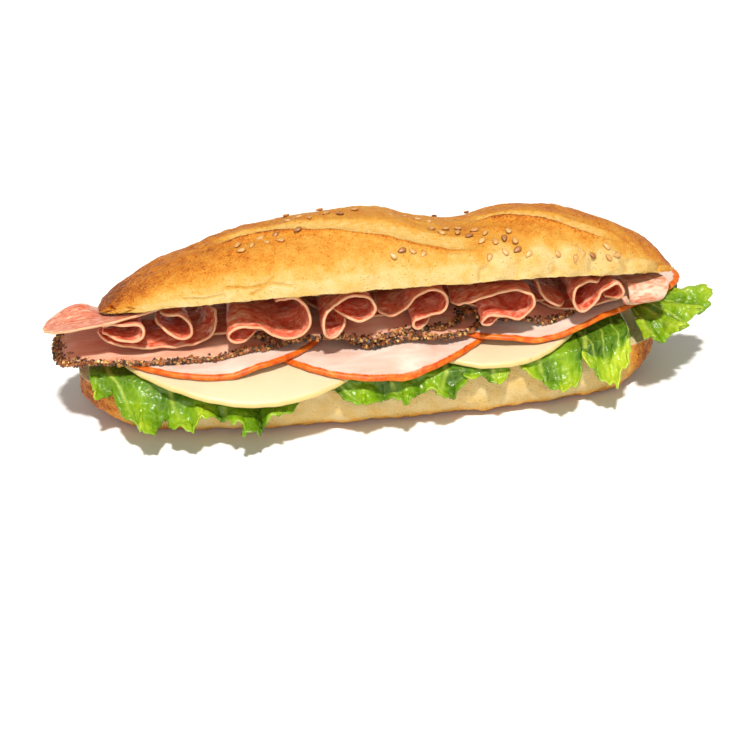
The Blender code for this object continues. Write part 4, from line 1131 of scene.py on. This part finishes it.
def make_fold(number, name, fold):
    """A rim's path carried back: towards the back it narrows, its floor climbs, and its height shrinks
    with the room under the crown, as the share of that room that it takes at the front. The slices are
    round, so the rim falls back towards both its ends, by the square of how near the end is."""
    path = smooth_path(fold["rim"], FOLD_STEPS_PER_CORNER)
    middle = path[:, 0].mean()
    front_y, back_y = fold["y"]
    floor_front, floor_back = fold["floor"]
    run = run_along(path)
    to_end = np.minimum(run, run[-1] - run)[None]
    start = FOLD_ROUNDING * (1 - np.minimum(1, to_end / FOLD_ROUNDING_RUN)) ** 2 / (back_y - front_y)
    behind = np.concatenate([FOLD_EDGE_ROWS, np.linspace(FOLD_FIRST_ROW, 1, FOLD_ROWS)])[:, None]
    share = start + (1 - start) * behind
    y = front_y + (back_y - front_y) * share
    x = middle + (path[None, :, 0] - middle) * (1 - FOLD_NARROWING * share)
    floor_here = floor_front + (floor_back - floor_front) * np.minimum(1, share / FOLD_FLOOR_RUN)
    room_front = crown_cut(path[None, :, 0], front_y) - fold["room"] - floor_front
    room_here = crown_cut(x, y) - fold["room"] - floor_here
    z = floor_here + (path[None, :, 1] - floor_front) * room_here / room_front
    grid = np.stack([x, y + 0 * x, z], -1)
    grid = lifted(grid, uneven(grid, FOLD_WAVER, number) * smooth(behind / 0.1 + 0.4))
    grid[..., 1] += uneven(grid[:1], FOLD_RIM_WAVER, number)
    from_front = (back_y - front_y) * (share - start)
    distance = np.minimum(from_front, np.minimum(to_end, back_y - y))
    add_sheet(name.replace("salami", "slice"), grid, rounded(distance, SALAMI_THICK), SALAMI, [name],
              {"inset": np.minimum(from_front, to_end + 0 * x)})


for fold_number, (fold_name, fold) in enumerate(FOLDS.items()):
    make_fold(fold_number, fold_name, fold)

END_SLICE_LEFT = {"middle": (-99.5, -4.5), "half": (22.5, 15.5), "power": 2.8, "turn": 12.0,
                  "under": 1.2, "droop": 2.6, "droop_run": 18.0, "hump": 4.5,
                  "hump_middle": (-110.0, 3.0), "hump_spread": 9.0, "pale": 0.14,
                  "torn": ((0.5, 31, 0.35), (0.2, 17))}
CROWN_END_INSET = 2.0
END_FLAP_PATH = [(9, 38.4), (0, 40.6), (-10, 43.4), (-17, 44.8), (-21.4, 43.6), (-22.6, 41.0),
                 (-20.4, 38.9), (-17.2, 39.6)]
END_FLAP_X = (93.0, 109.0)
END_FLAP_SLANT = 5.0
END_FLAP_SLANT_FROM = 0.4
END_FLAP_WAVER = [(0.2, 8.0, 110)]
END_FLAP_PALE = 0.38


def make_left_end_slice():
    """The slice that droops out of the left end: it lies just under the crown, bends down beyond the
    crown's tip by the power 1.5 of the distance, and has a round hump there."""
    middle_x, middle_y = END_SLICE_LEFT["middle"]
    half_x, half_y = END_SLICE_LEFT["half"]
    inset, angle = slice_grid(half_y)
    (tear, teeth, width), (nick, nicks) = END_SLICE_LEFT["torn"]
    torn = tear * np.sin(teeth * angle) * hill(angle, math.pi, width) + nick * np.sin(nicks * angle)
    reach = (1 - (inset + torn) / half_y) * oval_edge(angle, END_SLICE_LEFT["power"])
    x, y = turned(half_x * reach * np.cos(angle), half_y * reach * np.sin(angle), END_SLICE_LEFT["turn"])
    x, y = middle_x + x, middle_y + y
    edge_x = CROWN_MIDDLE_X - CROWN_LENGTH / 2 + CROWN_END_INSET
    past_edge = np.clip((edge_x - x) / END_SLICE_LEFT["droop_run"], 0, None)
    height = crown_cut(np.maximum(x, edge_x), y) - END_SLICE_LEFT["under"] - SALAMI_THICK / 2
    height = height - END_SLICE_LEFT["droop"] * past_edge**1.5
    hump_x, hump_y = END_SLICE_LEFT["hump_middle"]
    hump = hill(np.hypot(x - hump_x, y - hump_y), 0, END_SLICE_LEFT["hump_spread"])
    height = height + END_SLICE_LEFT["hump"] * hump * smooth(past_edge * 3)
    add_slice("slice_end_left", x, y, height, SALAMI_THICK, SALAMI, "salami_end_left", inset,
              END_SLICE_LEFT["pale"])


def make_right_end_flap():
    """The small flap that curls out of the right end: a path across the roll, carried along it."""
    path = smooth_path(END_FLAP_PATH, FOLD_STEPS_PER_CORNER)
    share = np.linspace(0, 1, FOLD_ROWS)[:, None]
    start_x, end_x = END_FLAP_X
    x = start_x + (end_x - start_x) * share
    along = np.arange(len(path))[None] / len(path)
    past = (along - END_FLAP_SLANT_FROM) / (1 - END_FLAP_SLANT_FROM)
    lean = END_FLAP_SLANT * smooth(past) * smooth(share * 4)
    grid = np.stack([x - lean, path[None, :, 0] + 0 * x, path[None, :, 1] + 0 * x], -1)
    grid = lifted(grid, uneven(grid, END_FLAP_WAVER))
    run = run_along(path)
    inset = np.minimum(np.minimum(run[-1] - run, run)[None], end_x - x)
    add_sheet("slice_end_right", grid, rounded(np.minimum(inset, x - start_x), SALAMI_THICK), SALAMI,
              ["salami_end_right"], {"inset": inset, "pale": END_FLAP_PALE + 0 * inset})


make_left_end_slice()
make_right_end_flap()

# Top half of the roll: the domed crust, scored twice with a blade before baking. Each score opened into
# a pale bed behind a raised brown lip. It leans back, so that the front stands open.
CROWN_OUTLINE = (2.6, 2.2)
CROWN_DOME = 25.3
CROWN_LEFT_POWER = 1.8
CROWN_RIGHT_POWER = 2.8
CROWN_ROOT = 1.6
CROWN_SQUARENESS = 2.3
WAIST_X = 30.0
WAIST_HALF_LENGTH = 22.0
WAIST_DEPTH = 0.27
SLASHES = [
    {"ends": (-62.0, 38.0), "angles": (71.0, 36.0), "width": 13.0},
    {"ends": (33.0, 92.0), "angles": (74.0, 41.0), "width": 10.0},
]
SLASH_DEPTH = 1.9
SLASH_BED_START_RUN = 0.22
SLASH_BED_END = 1.35
SLASH_BED_END_RUN = 0.6
SLASH_LIP = 1.3
SLASH_LIP_PLACE = -0.12
SLASH_LIP_SPREAD = 0.22
SLASH_LIP_CLIMB = 1.05
SLASH_FADE = 12.0
CROWN_COLUMNS = 420
CROWN_ARCH_POINTS = 190
CROWN_CUT_POINTS = 22


def slash_parts(x, angle):
    """For each score: how far behind its lip a point is, in widths, and how much it has faded in."""
    parts = []
    for slash in SLASHES:
        start, end = slash["ends"]
        low, high = slash["angles"]
        lip = low + (high - low) * smooth((x - start) / (end - start) * SLASH_LIP_CLIMB)
        fade = smooth((x - start) / SLASH_FADE) * smooth((end - x) / SLASH_FADE)
        parts.append(((angle - lip) / slash["width"], fade))
    return parts


def crown_point(x, angle):
    """Point on the dome at x, at an angle in degrees from its front edge to its back edge: a squared-off
    half oval, swollen by the lips and cut back by the beds of the scores, then tilted back."""
    share = (x - CROWN_MIDDLE_X) / (CROWN_LENGTH / 2)
    waist = 1 - WAIST_DEPTH * hill(x, WAIST_X, WAIST_HALF_LENGTH)
    half = CROWN_WIDTH / 2 * dome(share, *CROWN_OUTLINE)
    power = np.where(share < 0, CROWN_LEFT_POWER, CROWN_RIGHT_POWER)
    height = CROWN_DOME * dome(share, power, CROWN_ROOT) * waist
    turn = np.radians(angle)
    reach = np.abs(np.cos(turn)) ** CROWN_SQUARENESS + np.abs(np.sin(turn)) ** CROWN_SQUARENESS
    radius = reach ** (-1 / CROWN_SQUARENESS)
    relief = 0.0
    for behind, fade in slash_parts(x, angle):
        raised = hill(behind, SLASH_LIP_PLACE, SLASH_LIP_SPREAD)
        opened = smooth(behind / SLASH_BED_START_RUN) * smooth((SLASH_BED_END - behind) / SLASH_BED_END_RUN)
        relief = relief + fade * (SLASH_LIP * raised - SLASH_DEPTH * opened)
    swell = 1 + relief / CROWN_DOME
    across = -half * radius * np.cos(turn) * swell
    above = height * radius * np.sin(turn) * swell
    y = across * math.cos(CROWN_TILT) + above * math.sin(CROWN_TILT)
    z = crown_cut(x, 0) - across * math.sin(CROWN_TILT) + above * math.cos(CROWN_TILT)
    return np.stack(np.broadcast_arrays(x, y, z), -1)


CREASES = [
    ([(-48.0, 6.0), (-44.0, 12.0), (-40.5, 20.0)], 1.0),
    ([(-57.0, 17.0), (-49.0, 13.0), (-41.0, 14.5), (-34.0, 10.0)], 0.9),
    ([(-72.0, 12.0), (-65.0, 8.0), (-58.0, 9.5)], 0.7),
    ([(-101.0, 8.0), (-97.0, 18.0), (-98.0, 34.0)], 1.2),
    ([(-93.0, 2.0), (-90.0, 9.0), (-92.0, 15.0)], 0.9),
]
CREASE_WIDTH = 0.6
ARC_PER_DEGREE = 0.5
BAND_ANGLE = 13
BAND_RISE = 8
BAND_RISE_START = -30
BAND_RISE_RUN = 70
BAND_WAVE = 1.5
BAND_WAVE_TURNS = 0.33
LUMP_LENGTH = 14.5
LUMPS_START = 34.0
LUMPS_START_RUN = 8
LUMPS_END = 98
LUMPS_END_RUN = 10
LUMP_BAND = 13
LUMP_RELIEF = 2.1


def crease_depth(x, angle):
    """Depth of the creases: for each, a bell of the distance from the nearest of its segments."""
    depth = np.zeros(x.shape)
    for corners, deep in CREASES:
        nearest = np.full(x.shape, 1e3)
        for (x1, angle1), (x2, angle2) in zip(corners, corners[1:]):
            run_x, run_a = x2 - x1, (angle2 - angle1) * ARC_PER_DEGREE
            off_x, off_a = x - x1, (angle - angle1) * ARC_PER_DEGREE
            share = np.clip((off_x * run_x + off_a * run_a) / (run_x**2 + run_a**2), 0, 1)
            nearest = np.minimum(nearest, np.hypot(off_x - share * run_x, off_a - share * run_a))
        depth = np.maximum(depth, deep * hill(nearest, 0, CREASE_WIDTH))
    return depth


def lumps(x, angle):
    """The soft lumps of pale dough along the front at the right: how high the pale band reaches, in
    degrees, and the relief. Both follow the absolute value of a sine, as scallops do."""
    band = BAND_ANGLE + BAND_RISE * step(x, BAND_RISE_START, BAND_RISE_RUN)
    band = band + BAND_WAVE * np.sin(x * BAND_WAVE_TURNS) + 0 * angle
    lump = np.abs(np.sin(math.pi * (x - LUMPS_START) / LUMP_LENGTH)) * step(x, LUMPS_START, LUMPS_START_RUN)
    band = band + LUMP_BAND * (lump - 0.3 * (lump > 0)) * smooth((LUMPS_END - x) / LUMPS_END_RUN)
    height = LUMP_RELIEF * (lump - 0.6 * (lump > 0))
    relief = height * smooth((band + 3 - angle) / 6) * smooth(angle / 5)
    return band, relief


CROWN_RELIEF = [(0.26, 22.0, 120), (0.12, 8.0, 121), (0.05, 2.6, 122), (0.03, 1.4, 126)]
CROWN_CUT_CALM = 0.6
# How brown the crust is: a little in its pale band, and more by each row here. A row holds how much it
# adds, and the steps by which it sets in: what is measured, where the step starts and how far it runs.
CROWN_BAKE = 0.15
CROWN_BROWNER = [
    (0.14, [("above the band", -2, 4)]),
    (0.20, [("above the band", 0, 26)]),
    (0.07, [("up from the edge", 45, 40)]),
    (0.17, [("to the left", 5, 70), ("up from the edge", 18, 30)]),
    (0.25, [("towards the ends", 0.80, 0.17)]),
    (0.10, [("to the right", 25, 30), ("above the band", 1, 9)]),
]
CROWN_BROWNEST = 0.93
CROWN_BAKE_UNEVEN = [(0.026, 14.0, 123), (0.03, 5.0, 124)]
# The crust is drawn darker along its creases, by this much at a crease's full depth.
CREASE_DARKENING = 0.16
SLASH_BED_BAKE = 0.20
SLASH_BED_STREAKS = (0.07, 2.4, 0.05)
SLASH_BED_UNEVEN = [(0.05, 2.0, 125)]
SLASH_BED_COVER = 0.85
SLASH_LIP_BAKE = 0.26


def make_crown():
    """Rings across the crown: the dome from its front edge over to the back, then the cut face. bake
    keeps how brown each place is, and crumb is 1 on the cut face."""
    share = ring_shares(CROWN_COLUMNS)
    x = CROWN_MIDDLE_X + share * CROWN_LENGTH / 2
    angle = np.linspace(0, 180, CROWN_ARCH_POINTS)[None]
    arch = crown_point(x, angle)
    part = np.linspace(0, 1, CROWN_CUT_POINTS + 2)[None, 1:-1, None]
    cut = arch[:, -1:] + (arch[:, :1] - arch[:, -1:]) * part
    grid = np.concatenate([arch, cut], 1)
    angles = np.concatenate([angle + 0 * x, np.zeros((CROWN_COLUMNS, CROWN_CUT_POINTS))], 1)
    crumb = np.concatenate([np.zeros((CROWN_COLUMNS, CROWN_ARCH_POINTS)),
                            np.ones((CROWN_COLUMNS, CROWN_CUT_POINTS))], 1)
    band, lump_relief = lumps(x, angles)
    crease = crease_depth(x + 0 * angles, angles)
    relief = (uneven(grid, CROWN_RELIEF) + lump_relief - crease) * (1 - CROWN_CUT_CALM * crumb)
    grid = lifted(grid, relief, ring=True)
    front = np.minimum(angles, 180 - angles)
    measured = {"above the band": front - band, "up from the edge": front, "to the left": -x,
                "to the right": x, "towards the ends": np.abs(share)}
    bake = CROWN_BAKE + uneven(grid, CROWN_BAKE_UNEVEN) + CREASE_DARKENING * crease
    for added, steps in CROWN_BROWNER:
        bake = bake + added * math.prod(step(measured[what], start, run) for what, start, run in steps)
    height, turns, lean = SLASH_BED_STREAKS
    streaks = height * np.sin(angles * turns + lean * x) + uneven(grid, SLASH_BED_UNEVEN)
    for behind, fade in slash_parts(x, angles):
        bed_here = fade * smooth((behind + 0.02) / 0.2) * smooth((1.5 - behind) / 0.5)
        bake = bake + (SLASH_BED_BAKE + streaks - bake) * bed_here * SLASH_BED_COVER
        bake = bake + SLASH_LIP_BAKE * fade * hill(behind, -0.10, 0.11)
    bake = np.clip(bake, 0.0, CROWN_BROWNEST)
    add_loft("crown", grid, CRUST, ["bun_top"], {"bake": bake, "crumb": crumb})


make_crown()

# Sesame seeds: flat drops about three millimetres long, toasted tan with browner rims, sprinkled on
# the crown in loose patches before baking, so they are sunk a little into the crust.
SEED_LENGTH = 3.3
SEED_WIDTH = 2.1
SEED_HEIGHT = 1.1
SEED_SUNK = 0.2
SEED_SPACING = 3.8
SEED_TRIES = 60
SEED_ROWS = 9
SEED_COLUMNS = 14
SEED_LAST_ROW = 0.985
SEED_TAPER = 0.35
SEED_SIZES = (0.9, 1.08)
SEED_TILT = 0.3
SEED_SHADES = [0.3, 0.68, 0.86]
SEED_SHADE_ODDS = [0.15, 0.45, 0.4]
SEED_RIM_DARK = 0.9
SEED_MOTTLE = 0.3
SEED_PATCHES = [
    (-40.0, 56.0, 11.0, 5.0, 8),
    (-20.0, 82.0, 16.0, 5.0, 6),
    (14.0, 76.0, 8.0, 3.0, 4),
    (28.0, 58.0, 8.0, 6.0, 7),
    (43.0, 45.0, 7.0, 8.0, 6),
    (9.0, 30.0, 6.0, 4.0, 4),
    (44.0, 26.0, 9.0, 4.0, 6),
    (70.0, 20.0, 9.0, 4.0, 7),
    (86.0, 24.0, 4.0, 7.0, 3),
    (10.0, 115.0, 55.0, 12.0, 5),
]
SEED_TONES = [(0.0, (0.13, 0.035, 0.010)), (0.35, (0.40, 0.16, 0.040)), (0.7, (0.56, 0.30, 0.09)),
              (1.0, (0.66, 0.44, 0.18))]


def seed_places():
    """Where the seeds lie: drawn from the patches, and kept apart by the spacing."""
    draw = np.random.default_rng(7)
    places = []
    for middle_x, middle_angle, spread_x, spread_angle, count in SEED_PATCHES:
        found = 0
        for _ in range(SEED_TRIES):
            if found == count:
                break
            x = middle_x + spread_x * draw.uniform(-1, 1)
            angle = middle_angle + spread_angle * draw.uniform(-1, 1)
            point = crown_point(np.array([x, x + 0.5, x]), np.array([angle, angle, angle + 1]))
            outward = np.cross(point[1] - point[0], point[2] - point[0])
            outward *= np.sign(outward[2]) / np.linalg.norm(outward)
            if all(np.linalg.norm(point[0] - other[0]) > SEED_SPACING for other in places):
                raised = point[0] + outward * lumps(x, angle)[1]
                places.append((raised, outward, draw.uniform(0, math.pi)))
                found += 1
    return places


def make_seeds():
    """Each seed is a drop: an oval whose width shrinks towards one end, half as high as it is wide."""
    rows, columns = SEED_ROWS, SEED_COLUMNS
    down = np.linspace(-1, 1, rows)[:, None] * SEED_LAST_ROW
    turn = np.linspace(0, 2 * math.pi, columns, endpoint=False)[None]
    width = np.sqrt(1 - down**2) * (1 - SEED_TAPER * down)
    rim = 0.50 * np.abs(np.cos(turn)) ** 5 + 0.4 * np.abs(down) ** 6
    points, faces, tones = [], [], []
    draw = np.random.default_rng(130)
    place = np.arange(columns)[1:-1]
    beside = (place + 1) % columns
    last = (rows - 1) * columns
    for number, (spot, outward, heading) in enumerate(seed_places()):
        along = np.cross(outward, [math.cos(heading), math.sin(heading), SEED_TILT])
        along /= np.linalg.norm(along)
        side = np.cross(outward, along)
        size = draw.uniform(*SEED_SIZES)
        middle = spot + outward * (SEED_HEIGHT / 2 - SEED_SUNK)
        body = (middle + size * (down[..., None] * along * SEED_LENGTH / 2
                                 + (width * np.cos(turn))[..., None] * side * SEED_WIDTH / 2
                                 + (width * np.sin(turn))[..., None] * outward * SEED_HEIGHT / 2))
        first = number * rows * columns
        points.append(body.reshape(-1, 3))
        faces.append(grid_faces(rows, columns, first, ring=True))
        shade = draw.choice(SEED_SHADES, p=SEED_SHADE_ODDS)
        tones.append(np.clip(shade - rim * SEED_RIM_DARK, 0, 1).ravel())
        faces.append(first + np.stack([beside, place, 0 * place], -1))
        faces.append(first + last + np.stack([0 * place, place, beside], -1))
    finish, tree, shader = plain_finish("sesame", 0.4)
    mottle = use_group(tree, MOTTLE, Coarse_Scale=500.0, Fine_Scale=1500.0, Fine_Share=0.4).outputs[0]
    tone = plus(tree, kept_value(tree, "tone"), swing(tree, mottle, SEED_MOTTLE))
    tree.links.new(ramp(tree, tone, SEED_TONES), shader.inputs["Base Color"])
    add_piece("seeds", np.concatenate(points), faces, finish, [], {"tone": np.concatenate(tones)})


make_seeds()
